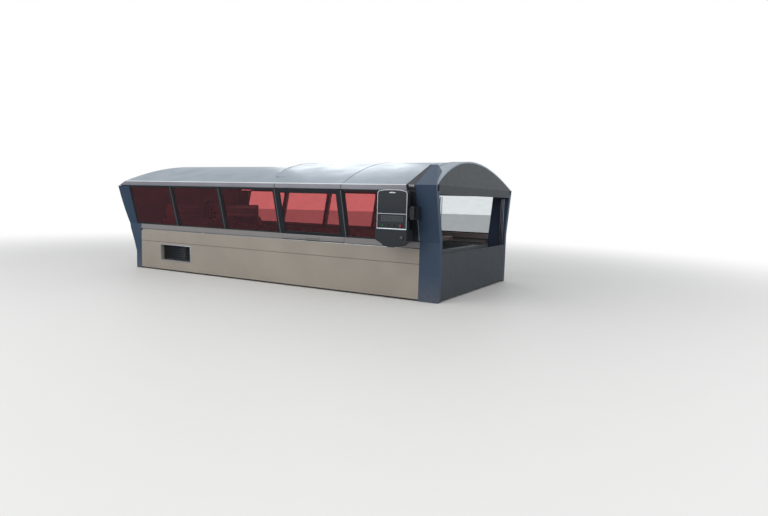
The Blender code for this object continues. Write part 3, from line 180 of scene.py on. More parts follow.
class LampSettings(bpy.types.PropertyGroup):
    """Sizes of the lamp battens under the roof."""
    reach: length("Reach", "How far a batten lies from the machine's middle", 1.36)
    width: length("Width", "Width of a batten's body", 0.06)
    height: length("Height", "Height of a batten's body, and of its cover", 0.024)
    end_room: length("End room", "How much of its bay's length a batten leaves free", 0.16)


class GantrySettings(bpy.types.PropertyGroup):
    """Sizes of the racks and of the beam's bearing rails."""
    rack_pitch: length("Rack pitch", "Spacing of the racks' teeth", 0.0188)
    rail_inset: length("Rail inset", "How far a rail lies from the beam's edge", 0.05)
    rail_height: length("Rail height", "How far a rail stands off the beam", 0.014)
    rail_width: length("Rail width", "Width of a rail", 0.022)
    bolt_pitch: length("Bolt pitch", "Spacing of a rail's bolts", 0.06)


class StageSettings(bpy.types.PropertyGroup):
    """Camera and floor."""
    camera_x: length("Camera X", "Place of the camera along the machine", 7.294)
    camera_y: length("Camera Y", "Place of the camera across the machine", -9.837)
    eye_height: length("Eye height", "Height of the camera", 1.60)
    pitch: tilt("Pitch", "How far the camera looks down", 5.81)
    roll: tilt("Roll", "How far the camera leans to one side", 1.60)
    yaw: tilt("Yaw", "How far the camera is turned from straight across the machine", 29.3)
    lens: bpy.props.FloatProperty(name="Lens", description="Focal length in millimetres", default=27.19)
    floor: colour("Floor", "Colour of the floor", "#DADAD8")
    floor_radius: length("Floor radius", "Radius of the floor's disc", 60.0)
    mirrored_floor: colour("Mirrored floor", "Colour that glossy faces show of the floor", "#5C6D80")


def around(count, radius=1.0):
    """The points of a circle about the origin, evenly spaced, as two arrays."""
    angle = np.arange(count) * math.tau / count
    return radius * np.cos(angle), radius * np.sin(angle)


def coordinates(x, y, z):
    """A list of points from their coordinates, each of them an array or one number for all."""
    return np.stack(np.broadcast_arrays(x, y, z), -1).reshape(-1, 3)


def corner_arcs(steps):
    """The signs of a rectangle's four corners, and a quarter of a unit circle at each."""
    sign = np.repeat(np.array([(1, 1), (-1, 1), (-1, -1), (1, -1)], float), steps, axis=0)
    angle = (np.arange(4)[:, None] * math.pi / 2 + np.linspace(0.0, math.pi / 2, steps)).ravel()
    return sign, np.stack((np.cos(angle), np.sin(angle)), -1)


def blocks(centres, sizes, radius, axes=np.eye(3)):
    """Boxes with rounded edges.

    A rounded rectangle is carried along the third axis, and at both ends it is drawn in by a quarter
    circle, so point = centre + corner + radius * (cosine, sine), with the corner drawn in at the ends.
    """
    centres = np.atleast_2d(np.asarray(centres, float))
    half = np.broadcast_to(np.asarray(sizes, float) / 2, centres.shape)
    sign, circle = corner_arcs(3)
    turn = np.linspace(0.0, math.pi / 2, 3)
    inset = radius * (1 - np.sin(turn))
    rise = radius * (1 - np.cos(turn))
    inset = np.concatenate((inset, inset[::-1]))
    height = np.concatenate((rise - half[:, 2:3], half[:, 2:3] - rise[::-1]), axis=1)
    flat = sign * (half[:, None, :2] - radius)
    flat = flat[:, None] + (radius - inset)[None, :, None, None] * circle
    tall = np.broadcast_to(height[:, :, None, None], (*flat.shape[:3], 1))
    return centres[:, None, None] + np.concatenate((flat, tall), -1) @ np.asarray(axes, float)


def turned(profile, places, axis, sides=24):
    """Round bodies: each ring is a circle of the profile's radius at its height along the axis."""
    radius, height = np.array(profile, float).T
    axis = np.array(axis, float) / np.linalg.norm(axis)
    across = np.cross(axis, (0.0, 0.0, 1.0) if abs(axis[2]) < 0.9 else (1.0, 0.0, 0.0))
    across /= np.linalg.norm(across)
    up = np.cross(axis, across)
    circle = coordinates(*around(sides), 0.0) @ (across, up, axis)
    shape = radius[:, None, None] * circle + height[:, None, None] * axis
    return np.atleast_2d(np.asarray(places, float))[:, None, None] + shape


def rod(start, length, radius):
    """A plain round rod from a start along X."""
    return turned(((radius, 0.0), (radius, length)), start, (1, 0, 0), 12)


def swept(profile, path, up):
    """A profile carried along a path: point = path + u * side + v * up, with side across the path."""
    profile, path = np.asarray(profile, float), np.asarray(path, float)
    up = np.broadcast_to(np.asarray(up, float), path.shape)
    side = np.cross(np.gradient(path, axis=0), up)
    side /= np.linalg.norm(side, axis=1, keepdims=True)
    return (path[:, None] + profile[:, 0, None] * side[:, None] + profile[:, 1, None] * up[:, None])[None]


def mitred(corners, out, profile):
    """A frame with mitred corners: point = corner + u * (both inward directions) + v * out."""
    corners = np.asarray(corners, float)
    ahead = np.roll(corners, -1, axis=-2) - corners
    ahead /= np.linalg.norm(ahead, axis=-1, keepdims=True)
    inward = ahead - np.roll(ahead, 1, axis=-2)
    profile = np.asarray(profile, float)
    rings = corners[..., :, None, :] + profile[:, 0, None] * inward[..., :, None, :]
    rings = rings + profile[:, 1, None] * np.asarray(out, float)
    return rings.reshape(-1, corners.shape[-2], len(profile), 3)


def half_round(width, height, steps=7):
    """A bead's section: half an ellipse that stands on a flat base."""
    angle = np.linspace(0.0, math.pi, steps)
    return np.stack((width / 2 * (1 - np.cos(angle)), height * np.sin(angle)), -1)


def round_section(width, height, radius, steps=4):
    """A rounded rectangle about its middle, from four quarter circles."""
    sign, circle = corner_arcs(steps)
    return sign * (width / 2 - radius, height / 2 - radius) + radius * circle


def ring_faces(rings, looped):
    """Quads between neighbouring rings, and a flat cap on each end ring unless they run in a loop."""
    copies, count, sides, _ = rings.shape
    ring, side = np.arange(count if looped else count - 1)[:, None], np.arange(sides)
    after, beside = (ring + 1) % count, (side + 1) % sides
    quads = np.stack((ring * sides + side, ring * sides + beside, after * sides + beside,
                      after * sides + side), -1).reshape(-1, 4)
    shift = np.arange(copies)[:, None, None] * count * sides
    faces = (quads + shift).reshape(-1, 4).tolist()
    if not looped:
        caps = np.stack((side[::-1], (count - 1) * sides + side))
        faces += (caps + shift).reshape(-1, sides).tolist()
    return faces


def put(name, data):
    """A new object in the scene."""
    thing = bpy.data.objects.new(name, data)
    bpy.context.scene.collection.objects.link(thing)
    return thing


def make_piece(name, shapes, finish, body="root", looped=False, sharp=40.0):
    """Puts one or more sets of rings into one closed mesh and hangs it on a CAD body.

    Doubles are merged, the faces point outwards, and an edge is smooth where its faces meet at less than
    the sharp angle in degrees. The slot is the finish's own.
    """
    points, faces, used = [], [], 0
    for rings in shapes if isinstance(shapes, (list, tuple)) else [shapes]:
        faces += [[corner + used for corner in face] for face in ring_faces(rings, looped)]
        points.append(rings.reshape(-1, 3))
        used += len(points[-1])
    mesh = bpy.data.meshes.new(name)
    mesh.from_pydata(np.concatenate(points).tolist(), [], faces)
    shape = bmesh.new()
    shape.from_mesh(mesh)
    bmesh.ops.remove_doubles(shape, verts=shape.verts, dist=0.00001)
    bmesh.ops.recalc_face_normals(shape, faces=shape.faces)
    shape.to_mesh(mesh)
    shape.free()
    mesh.shade_smooth()
    mesh.set_sharp_from_angle(angle=math.radians(sharp))
    mesh.materials.append(FINISHES[finish])
    thing = put(name, mesh)
    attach(thing, body)
    return thing


def side_y(height, proud=0.0):
    """How far the leaning side stands from the middle at a height, plus a distance out of it."""
    return SIDE + LEAN * (height - SILL_TOP) + proud


def side_out(side):
    """The direction square out of the glazed side."""
    return np.array((0.0, side, -LEAN)) / math.hypot(1.0, LEAN)


def side_strip(section, x, side, base, top, proud):
    """A section carried up the glazed side at one X, between two heights."""
    return swept(section, [(x, side * side_y(z, proud), z) for z in (base, top)], side_out(side))


def rectangle(left, right, base, top):
    """The corners of an upright rectangle as X and Z, in order round it."""
    return (left, base), (right, base), (right, top), (left, top)


def bays(left, right):
    """The clear lengths along X between the portals, from one end to the other."""
    edges = [left, *(corner.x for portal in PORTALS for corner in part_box(portal)), right]
    return list(zip(edges[::2], edges[1::2]))


def add(tree, kind, inputs=None, **settings):
    """Adds a shader node with its settings, and with values or other nodes' sockets at its inputs."""
    node = tree.nodes.new("ShaderNode" + kind)
    for name, value in settings.items():
        setattr(node, name, value)
    for name, value in (inputs or {}).items():
        if isinstance(value, bpy.types.NodeSocket):
            tree.links.new(value, node.inputs[name])
        else:
            node.inputs[name].default_value = value
    return node


def start_material(name):
    """A material with its Principled shader, and the object coordinates that its patterns read."""
    material = bpy.data.materials.new(name)
    material.use_nodes = True
    tree = material.node_tree
    return material, tree, tree.nodes["Principled BSDF"], add(tree, "TexCoord").outputs["Object"]


def joined(tree, operation, first, second, **settings):
    """Two values joined by a math node."""
    return add(tree, "Math", {0: first, 1: second}, operation=operation, **settings).outputs[0]


def mixed(tree, share, first, second):
    """A blend of two colours by a share."""
    return add(tree, "Mix", {0: share, 6: first, 7: second}, data_type="RGBA").outputs[2]


def scaled(tree, value, low, high, to_low, to_high):
    """A value carried from one range to another."""
    return add(tree, "MapRange", {0: value, 1: low, 2: high, 3: to_low, 4: to_high}).outputs[0]


def shaded(rgba, share):
    """A colour made darker or lighter by a share."""
    return (*[min(1.0, channel * share) for channel in rgba[:3]], 1.0)


def noise(tree, place, scale, detail, roughness=0.5):
    """A cloudy pattern from 0 to 1, whose crests lie about 1 / scale metres apart."""
    return add(tree, "TexNoise", {"Vector": place, "Scale": scale, "Detail": detail,
                                            "Roughness": roughness}).outputs[0]


def stretched(tree, place, scale, turn=(0.0, 0.0, 0.0)):
    """Coordinates turned and scaled, so that a pattern on them runs in lines."""
    return add(tree, "Mapping", {"Vector": place, "Rotation": turn, "Scale": scale}).outputs[0]


def coat(tree, shader, tone, gloss, values, height=None, strength=0.0, depth=0.0):
    """Joins a tone, a roughness and any bump to the shader, and sets its uniform values."""
    tree.links.new(tone, shader.inputs["Base Color"])
    tree.links.new(gloss, shader.inputs["Roughness"])
    for name, value in values.items():
        shader.inputs[name].default_value = value
    if height is not None:
        bump = add(tree, "Bump", {"Height": height, "Strength": strength, "Distance": depth})
        tree.links.new(bump.outputs[0], shader.inputs["Normal"])


def enamel(name, base, roughness, peel=0.004, dust=0.0):
    """Sprayed or powder coated steel, which the eye reads by its even tone and pebbled sheen.

    Orange peel breaks the highlights up, the tone drifts slowly and is scuffed darker in places, and dust
    lies low down. The peel of a powder coat is 1 to 2 mm from crest to crest. It is drawn at 3 to 4 mm so
    that it shows.
    """
    material, tree, shader, place = start_material(name)
    drift = noise(tree, place, 1.6, 4.0)
    tone = mixed(tree, scaled(tree, drift, 0.35, 0.65, 0.0, 1.0), shaded(base, 0.93), shaded(base, 1.04))
    marks = noise(tree, place, 14.0, 6.0, 0.7)
    tone = mixed(tree, scaled(tree, marks, 0.58, 0.8, 0.0, 0.35), tone, shaded(base, 0.78))
    if dust:
        height = add(tree, "SeparateXYZ", {0: place}).outputs[2]
        low = scaled(tree, height, 0.0, 0.45, dust, 0.0)
        tone = mixed(tree, joined(tree, "MULTIPLY", low, marks), tone, linear("#8F877A"))
    gloss = scaled(tree, marks, 0.3, 0.75, roughness - 0.06, roughness + 0.1)
    coat(tree, shader, tone, gloss, {"IOR": 1.5}, noise(tree, place, 1 / peel, 2.0), 0.12, 0.0006)
    return material


def rolled_sheet(name, base, roughness, grain=(3.0, 160.0, 160.0), metallic=0.85):
    """Satin aluminium or plated sheet, which shows long soft highlights drawn out along its rolling.

    Fine lines run along the rolling direction, over soft clouding about 450 mm across. Rolling lines are
    finer than 1 mm. They are drawn about 6 mm apart so that they show.
    """
    material, tree, shader, place = start_material(name)
    lines = noise(tree, stretched(tree, place, grain), 1.0, 3.0)
    cloud = noise(tree, place, 2.2, 4.0)
    tone = mixed(tree, scaled(tree, lines, 0.3, 0.7, 0.0, 1.0), shaded(base, 0.92), shaded(base, 1.05))
    tone = mixed(tree, scaled(tree, cloud, 0.45, 0.75, 0.0, 0.4), tone, shaded(base, 0.84))
    gloss = scaled(tree, cloud, 0.3, 0.7, roughness - 0.05, roughness + 0.08)
    coat(tree, shader, tone, gloss, {"Metallic": metallic}, lines, 0.03, 0.0004)
    return material


def ground_steel(name, base, roughness, stain=0.0):
    """Ground or sheared steel, bright along its grinding lines, which are drawn about 2.4 mm apart.

    Where it is heated, blotches of straw brown, blue and rust about 110 mm across dull the shine.
    """
    material, tree, shader, place = start_material(name)
    lines = noise(tree, stretched(tree, place, (8.0, 420.0, 420.0)), 1.0, 2.0)
    tone = mixed(tree, scaled(tree, lines, 0.3, 0.7, 0.0, 1.0), shaded(base, 0.82), shaded(base, 1.1))
    blot = noise(tree, place, 9.0, 7.0, 0.75)
    if stain:
        tone = mixed(tree, scaled(tree, blot, 0.45, 0.6, 0.0, stain), tone, linear("#6B4A33"))
        tone = mixed(tree, scaled(tree, blot, 0.62, 0.72, 0.0, stain), tone, linear("#3C4150"))
    gloss = scaled(tree, blot, 0.3, 0.7, roughness - 0.05, roughness + 0.18)
    coat(tree, shader, tone, gloss, {"Metallic": 1.0 - stain * 0.4}, lines, 0.1, 0.0003)
    return material


def zinc_sheet(name, base):
    """Galvanised sheet, which glitters in pale spangles 10 to 25 mm across, each with its own tone."""
    material, tree, shader, place = start_material(name)
    cells = add(tree, "TexVoronoi", {"Vector": place, "Scale": 55.0}).outputs["Color"]
    share = add(tree, "SeparateColor", {0: cells}).outputs[0]
    tone = mixed(tree, share, shaded(base, 0.8), shaded(base, 1.08))
    coat(tree, shader, tone, scaled(tree, share, 0.0, 1.0, 0.32, 0.5), {"Metallic": 0.9})
    return material


def moulded(name, base, roughness, grain=0.0015):
    """Injection moulded plastic or rubber, dull and even, with gloss rubbed into it in places.

    A fine spark texture 1.5 mm across breaks up its highlights.
    """
    material, tree, shader, place = start_material(name)
    rub = noise(tree, place, 24.0, 5.0)
    tone = mixed(tree, scaled(tree, rub, 0.4, 0.7, 0.0, 1.0), shaded(base, 0.9), shaded(base, 1.15))
    gloss = scaled(tree, rub, 0.35, 0.7, roughness - 0.06, roughness + 0.08)
    coat(tree, shader, tone, gloss, {}, noise(tree, place, 1 / grain, 3.0), 0.15, 0.0002)
    return material


def laser_window(name, tint):
    """Dyed cast acrylic: it looks nearly black on a dark room and rose red where light comes through.

    Wiping leaves soft smears in the gloss, about 100 mm long. The sheet is coated against glare.
    """
    material, tree, shader, place = start_material(name)
    smear = noise(tree, stretched(tree, place, (6.0, 14.0, 14.0), (0.5, 0.3, 0.2)), 1.0, 5.0)
    tone = mixed(tree, scaled(tree, smear, 0.35, 0.75, 0.0, 1.0), tint, shaded(tint, 0.94))
    coat(tree, shader, tone, scaled(tree, smear, 0.5, 0.8, 0.0, 0.05),
         {"Transmission Weight": 1.0, "Specular IOR Level": 0.25, "IOR": 1.49})
    return material


def make_finishes(paint, glazing):
    """Every finish of the machine, by the name that the operators use."""
    return {
        "ivory": enamel("ivory powder coat", tuple(paint.ivory), 0.42, dust=0.5),
        "sill": enamel("grey sill enamel", tuple(paint.sill_grey), 0.38),
        "blue": enamel("blue enamel", tuple(paint.blue), 0.34, dust=0.35),
        "charcoal": enamel("charcoal textured enamel", tuple(paint.charcoal), 0.5, 0.003),
        "eave": enamel("eave grey enamel", tuple(paint.eave_grey), 0.32),
        "black": enamel("black satin enamel", tuple(paint.black), 0.36),
        "machine": enamel("machine grey enamel", tuple(paint.machine_grey), 0.4),
        "bed": enamel("dark bed enamel", linear("#5D6166"), 0.5, dust=0.6),
        "roof": rolled_sheet("satin silver roof sheet", tuple(paint.silver), 0.33),
        "trim": rolled_sheet("anodised aluminium trim", linear("#D3D6D8"), 0.22, (160.0, 160.0, 3.0), 1.0),
        "steel": ground_steel("ground bearing steel", linear("#A9ABAD"), 0.28),
        "slats": ground_steel("heat stained slat steel", linear("#8A8178"), 0.45, 0.8),
        "zinc": zinc_sheet("galvanised sheet", linear("#B7BCBF")),
        "glass": laser_window("dyed acrylic laser window", tuple(glazing.tint)),
        "far_glass": laser_window("pale acrylic sheet", tuple(glazing.far_tint)),
        "rubber": moulded("extruded rubber seal", linear("#1B1C1E"), 0.6),
        "plastic": moulded("black moulded plastic", linear("#1E1F21"), 0.4),
        "key": moulded("grey key caps", linear("#4A4E53"), 0.45),
        "screen": moulded("unlit display glass", linear("#23262B"), 0.12),
        "red": moulded("red moulded plastic", linear("#9A1F19"), 0.35),
        "green": moulded("green moulded plastic", linear("#1D6A38"), 0.35),
        # Pale enamel for the lap's edge and the fold's bead: painted highlights along both
        "pale": enamel("pale grey painted highlight enamel", linear("#DADFE2"), 0.3),
        "ceramic": moulded("white glazed ceramic", linear("#E4E1D8"), 0.25),
        "copper": ground_steel("turned copper", linear("#C98357"), 0.3),
        "opal": moulded("opal lamp cover", linear("#E9EAE6"), 0.35),
    }


CAD_FINISHES = {
    "ivory": ("near_lower_panel", "near_upper_panel", "far_side_panel", "left_end_wall"),
    "sill": ("near_sill_left", "near_sill_right", "far_sill"),
    "blue": ("near_right_column", "far_right_column", "near_left_column", "far_left_column"),
    "charcoal": ("end_header", "end_apron"),
    "black": (*PORTALS, "leaf_frame", "roof_band", "port_grille", "console_bracket", "console_housing",
              "console_desk"),
    "machine": ("near_carriage", "far_carriage", "gantry_beam", "door_upper_leaf", "door_lower_leaf"),
    "bed": ("bed_frame",),
    "steel": ("near_guide_rail", "far_guide_rail", "near_pinion", "far_pinion", "rear_wheelset",
              "front_wheelset", "near_left_foot", "near_right_foot", "far_left_foot", "far_right_foot"),
    "slats": ("pallet",),
    "zinc": ("duct_stub", "slag_tray"),
    "glass": ("near_window_1", "near_window_2", "near_window_3", "near_window_5", "leaf_window"),
    "far_glass": ("far_window",),
    "trim": ("console_bezel",),
    "screen": ("console_screen",),
    "plastic": ("pause_button", "feed_knob"),
    "red": ("emergency_button",),
    "green": ("start_button",),
}
# The slot that goes with each finish
FINISHES = {}


class MACHINE_OT_finishes(bpy.types.Operator):
    """Gives every solid that shows its finish"""
    bl_idname = "machine.finishes"
    bl_label = "Finishes"

    def execute(self, context):
        FINISHES.update(make_finishes(context.scene.machine_paint, context.scene.machine_glazing))
        for finish, nodes in CAD_FINISHES.items():
            for node in nodes:
                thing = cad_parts[node]
                thing.data.materials.clear()
                thing.data.materials.append(FINISHES[finish])
        return {"FINISHED"}


def roof_line(y, ridge, roof, lift=0.0):
    """The arch as (y, z) and its outward normal: z = ridge - fall * y squared, then lifted square to it."""
    fall = (ridge - EAVE_BASE - roof.fascia) / (EAVE_HALF - roof.turn) ** 2
    normal = np.stack((2 * fall * y, np.ones_like(y)), -1)
    normal /= np.linalg.norm(normal, axis=1, keepdims=True)
    return np.stack((y, ridge - fall * y ** 2), -1) + lift * normal, normal


def eave_to_eave(ridge, roof):
    """The outer and the inner line of a length of roof, with its turned-down edges, and the normal."""
    reach = EAVE_HALF - roof.turn
    outer, normal = roof_line(np.linspace(-reach, reach, ACROSS), ridge, roof)
    inner, _ = roof_line(outer[:, 0], ridge, roof, -roof.sheet)
    lines = []
    for line, edge in ((outer, EAVE_HALF), (inner, EAVE_HALF - roof.sheet)):
        lines.append(np.vstack(((-edge, EAVE_BASE), line, (edge, EAVE_BASE))))
    return (*lines, np.vstack(((-1.0, 0.0), normal, (1.0, 0.0))))


def roof_sheet(outer, inner, normal, low, high, wave):
    """One length of roof: at each point across, its outer line along X and its inner line back.

    Both ends are given at every point across, so they may slope. The outer face has shallow waves that
    fade out at the ends: out = wave * (2 + sine along X + sine across) / 4.
    """
    share = np.linspace(0.0, 1.0, ALONG)
    low, high = np.broadcast_to(low, len(outer)), np.broadcast_to(high, len(outer))
    x = low[:, None] + share * (high - low)[:, None]
    fade = np.clip(np.minimum(share, 1 - share) / 0.05, 0.0, 1.0)
    ripple = wave * fade * (2 + np.sin(5.3 * x) + np.sin(7.1 * outer[:, :1] + 1.7 * x)) / 4
    top = outer[:, None] + ripple[..., None] * normal[:, None]
    section = np.concatenate((top, np.broadcast_to(inner[:, None], top.shape)), axis=1)
    return np.concatenate((np.concatenate((x, x[:, ::-1]), axis=1)[..., None], section), -1)[None]


def lap_edge(roof):
    """The raised length's left edge over the left one, as y and X.

    Its reach to the left is a rounded box: reach * (1 - share across to the 6th) to the power 1/6.
    """
    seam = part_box("roof_left")[1].x
    y = roof.lap_span * np.sin(np.linspace(-math.pi / 2, math.pi / 2, ACROSS))
    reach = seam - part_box("roof_middle")[0].x
    return y, seam - reach * (1 - np.abs(y / roof.lap_span) ** 6) ** (1 / 6)


class MACHINE_OT_roof(bpy.types.Operator):
    """Makes the smooth roof sheets, the lap, the sloped hood and the beads on the joints"""
    bl_idname = "machine.roof"
    bl_label = "Roof"

    def execute(self, context):
        roof = context.scene.machine_roof
        left, middle, right = (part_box(node) for node in ROOF_LENGTHS)
        seam = left[1].x
        lines = eave_to_eave(LOW_RIDGE, roof)
        heights = (EAVE_BASE, EAVE_BASE + roof.fascia, LOW_RIDGE)
        slope = left[0].x + np.interp(lines[0][:, 1], heights, (0.0, roof.end_setback, roof.end_run))
        self.make_skin("roof_left", [roof_sheet(*lines, slope, seam, roof.wave)])
        lines = eave_to_eave(HIGH_RIDGE, roof)
        y, edge = lap_edge(roof)
        outer, normal = roof_line(y, HIGH_RIDGE, roof)
        inner, _ = roof_line(y, LOW_RIDGE, roof, SKIN_GAP)
        self.make_skin("roof_middle", [roof_sheet(*lines, seam + SKIN_GAP, middle[1].x, roof.wave),
                                       roof_sheet(outer, inner, normal, edge, seam, 0.0)])
        fold, horn = (-corner.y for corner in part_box("near_right_column"))
        band = np.interp(np.abs(lines[0][:, 0]), (horn, fold), (right[1].x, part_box("roof_band")[0].x))
        self.make_skin("roof_right", [roof_sheet(*lines, right[0].x, band - 0.0003, roof.wave)])
        self.make_hood(roof)
        self.make_beads(roof, y, edge)
        return {"FINISHED"}

    def make_skin(self, node, shapes):
        """Puts a length's smooth sheet in the place of its faceted solid."""
        skin = make_piece(f"{node}_skin", shapes, "roof", sharp=25.0)
        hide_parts(node)

    def make_hood(self, roof):
        """The hood follows the arch, and its right edge slopes back as it rises."""
        low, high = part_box("roof_hood")
        y = np.linspace(low.y, high.y, ACROSS)
        outer, normal = roof_line(y, HIGH_RIDGE, roof, high.z - HIGH_RIDGE)
        inner, _ = roof_line(y, HIGH_RIDGE, roof, -roof.sheet)
        fold = EAVE_BASE + roof.fascia + roof.fold_rise
        share = np.clip((outer[:, 1] - fold) / (HIGH_RIDGE - fold), 0.0, None)
        self.make_skin("roof_hood", [roof_sheet(outer, inner, normal, low.x,
                                                high.x - roof.hood_run * share, 0.0)])

    def make_beads(self, roof, lap_y, lap_x):
        """Rolled beads on the joints between the lengths, each a rounded section carried across. The lap's
        bead is enamelled pale, as a painted highlight along the lap's edge.
        """
        reach = EAVE_HALF - roof.turn
        joint = np.linspace(-reach, reach, ACROSS)
        joint_x = np.full(ACROSS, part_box("roof_right")[0].x)
        straight = np.abs(lap_y) < 0.87 * roof.lap_span
        for name, finish, width, y, x in (
                # The lap's bead in pale enamel: a painted highlight along the lap's edge
                ("lap_bead", "pale", roof.lap_bead, lap_y[straight], lap_x[straight]),
                ("roof_joint_bead", "roof", roof.bead, joint, joint_x)):
            section = round_section(width, width * 0.6, width * 0.28)
            line, normal = roof_line(y, HIGH_RIDGE, roof)
            path = np.concatenate((x[:, None], line), axis=1)
            bead = swept(section, path, np.concatenate((np.zeros((len(y), 1)), normal), axis=1))
            make_piece(name, bead, finish)


class MACHINE_OT_eaves(bpy.types.Operator):
    """Makes the enamelled eave covers, the caps beside the columns, the drip edges and the fold beads"""
    bl_idname = "machine.eaves"
    bl_label = "Eaves"

    def execute(self, context):
        roof = context.scene.machine_roof
        base = np.array((EAVE_HALF, EAVE_BASE))
        line = self.upright(roof, base, base + (-roof.turn, roof.fascia))
        spans = [(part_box(node)[0].x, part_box(node)[1].x) for node in ROOF_LENGTHS]
        spans[1] = (spans[0][1], spans[1][1])
        spans[2] = (spans[2][0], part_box("roof_band")[0].x)
        covers = [self.strip(line, low + END_GAP, high - END_GAP, roof if low == spans[0][0] else None)
                  for low, high in spans]
        make_piece("eave_covers", self.both_sides(covers), "eave")
        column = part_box("near_right_column")[0].x
        fold = np.array((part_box("roof_band")[1].y, EAVE_BASE + roof.fascia + roof.fold_rise))
        side = self.upright(roof, base + (SKIN_GAP, 0.02), fold + (SKIN_GAP, 0.0))
        cap = self.strip(side, spans[2][1] + 0.045, column - 0.015, None)
        make_piece("eave_caps", self.both_sides([cap]), "trim")
        gaps = [self.strip(line * (1.0006, 1.0), high - roof.gap_cover / 2, high + roof.gap_cover / 2, None)
                for _, high in spans[:2]]
        make_piece("eave_joints", self.both_sides(gaps), "rubber")
        self.make_bars(roof, spans)
        return {"FINISHED"}

    def upright(self, roof, low, high):
        """The rounded section of a cover between two points in (y, z)."""
        rise = high - low
        tall = np.linalg.norm(rise)
        section = round_section(roof.cover, tall - 0.006, roof.cover * 0.4)
        return (low + high) / 2 + (section[:, :1] * (rise[1], -rise[0]) + section[:, 1:] * rise) / tall

    def strip(self, line, low, high, roof):
        """A section in (y, z) carried along X, with the roof's slope at its left end where it is given."""
        setback = roof.end_setback * (line[:, 1] - EAVE_BASE) / roof.fascia if roof else 0.0
        rings = np.empty((1, 2, len(line), 3))
        rings[..., 1:] = line
        rings[0, 0, :, 0], rings[0, 1, :, 0] = low + setback, high
        return rings

    def both_sides(self, shapes):
        """Shapes of the far side, and the same reflected to the near side."""
        return [shape * (1.0, side, 1.0) for shape in shapes for side in SIDES]

    def make_bars(self, roof, spans):
        """Rolled drip edges below the eaves and a pale bead on the fold, in the roof's three lengths. The
        bead's pale enamel is a painted highlight along the fold.
        """
        drips, folds = [], []
        for low, high in spans:
            for y, z, radius, start, bars in (
                    (EAVE_HALF, EAVE_BASE + roof.drip_radius, roof.drip_radius, 0.0, drips),
                    (EAVE_HALF - roof.turn, EAVE_BASE + roof.fascia, roof.fold_radius, roof.end_setback,
                     folds)):
                start = low + END_GAP + (start if low == spans[0][0] else 0.0)
                bars.append(rod((start, y, z), high - END_GAP - start, radius))
        make_piece("drip_edges", self.both_sides(drips), "eave")
        # The fold beads' pale enamel is a painted highlight along the fold
        make_piece("fold_beads", self.both_sides(folds), "pale")


def pane_seal(glazing, side, edges, proud):
    """A seal round a pane on the glazed side, whose edges are its left, right, base and top."""
    corners = [(x, side * side_y(z, proud), z) for x, z in rectangle(*edges)]
    return mitred(corners if side < 0 else corners[::-1], side_out(side),
                  half_round(glazing.seal_width, glazing.seal_height))


def near_seal(glazing, node):
    """The seal round one of the operator's panes, on the pane's own face."""
    low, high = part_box(node)
    return pane_seal(glazing, -1.0, (low.x, high.x, low.z, high.z), -low.y - side_y(high.z))


class MACHINE_OT_glazing(bpy.types.Operator):
    """Makes the rubber seals round the panes, the strips over the posts and the head rails"""
    bl_idname = "machine.glazing"
    bl_label = "Glazing"

    def execute(self, context):
        glazing = context.scene.machine_glazing
        low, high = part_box("far_window")
        seals = [near_seal(glazing, node) for node in FIXED_PANES]
        seals += [pane_seal(glazing, 1.0, (left, right, low.z, high.z), 0.0)
                  for left, right in bays(low.x, high.x)]
        make_piece("window_seals", seals, "rubber", looped=True)
        make_piece("leaf_seal", near_seal(glazing, "leaf_window"), "rubber", "window_leaf", looped=True)
        self.make_strips(glazing)
        self.make_head_rails()
        return {"FINISHED"}

    def make_strips(self, glazing):
        """Flat strips with a pale bead over the posts, each a rounded section carried up the side. The bead's
        pale grey is a painted highlight up the middle of each dark post.
        """
        strips, beads = [], []
        bead = round_section(glazing.post_bead, glazing.post_bead, glazing.post_bead * 0.4)
        for portal in PORTALS:
            low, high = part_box(portal)
            section = round_section(high.x - low.x - 0.012, 0.006, 0.0028)
            for side in SIDES:
                place = ((low.x + high.x) / 2, side, STRIP_BASE, STRIP_TOP, 0.002)
                strips.append(side_strip(section, *place))
                beads.append(side_strip(bead, *place))
        make_piece("post_strips", strips, "black")
        # Pale grey beads: a painted highlight up each black post
        make_piece("post_beads", beads, "sill")

    def make_head_rails(self):
        """Rails that close the gap between the fixed panes' tops and the eave, flush with the panes."""
        rails, depth = [], 0.010
        for node in (*FIXED_PANES, "far_window"):
            low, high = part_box(node)
            y = math.copysign(side_y(high.z, -depth / 2), low.y)
            rails.append(blocks(((low.x + high.x) / 2, y, (high.z + EAVE_BASE) / 2),
                                (high.x - low.x, depth, EAVE_BASE - high.z + 0.001), 0.002))
        make_piece("head_rails", rails, "black")


class MACHINE_OT_leaf_fittings(bpy.types.Operator):
    """Makes the opening leaf's handle, its hinges and the cover over its part of the sill"""
    bl_idname = "machine.leaf_fittings"
    bl_label = "Leaf fittings"

    def execute(self, context):
        leaf = context.scene.machine_leaf
        low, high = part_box("leaf_frame")
        middle, width = (low.x + high.x) / 2, high.x - low.x
        half, z = leaf.handle / 2, SILL_TOP - leaf.handle_drop
        bar = turned(((0.009, -half), (0.011, 0.004 - half), (0.011, half - 0.004), (0.009, half)),
                     (middle, -SIDE - leaf.handle_reach, z), (1, 0, 0), 20)
        posts = turned(((0.009, 0.0), (0.009, leaf.handle_reach)),
                       [(middle + x, -SIDE, z) for x in (0.03 - half, half - 0.03)], (0, -1, 0), 16)
        make_piece("leaf_handle", [bar, posts], "sill", "window_leaf")
        rim = leaf.knuckle - 0.001
        knuckles = turned(((rim, -0.045), (leaf.knuckle, -0.043), (leaf.knuckle, 0.043), (rim, 0.045)),
                          [(low.x + share * width, -side_y(high.z), high.z) for share in (0.08, 0.5, 0.92)],
                          (1, 0, 0), 16)
        make_piece("leaf_hinges", knuckles, "plastic", "window_leaf")
        cover = blocks((middle, -SIDE - 0.0015, (low.z + SILL_TOP) / 2),
                       (width - 0.008, 0.005, SILL_TOP - low.z - 0.006), 0.0015)
        make_piece("leaf_sill_cover", cover, "sill", "window_leaf")
        return {"FINISHED"}


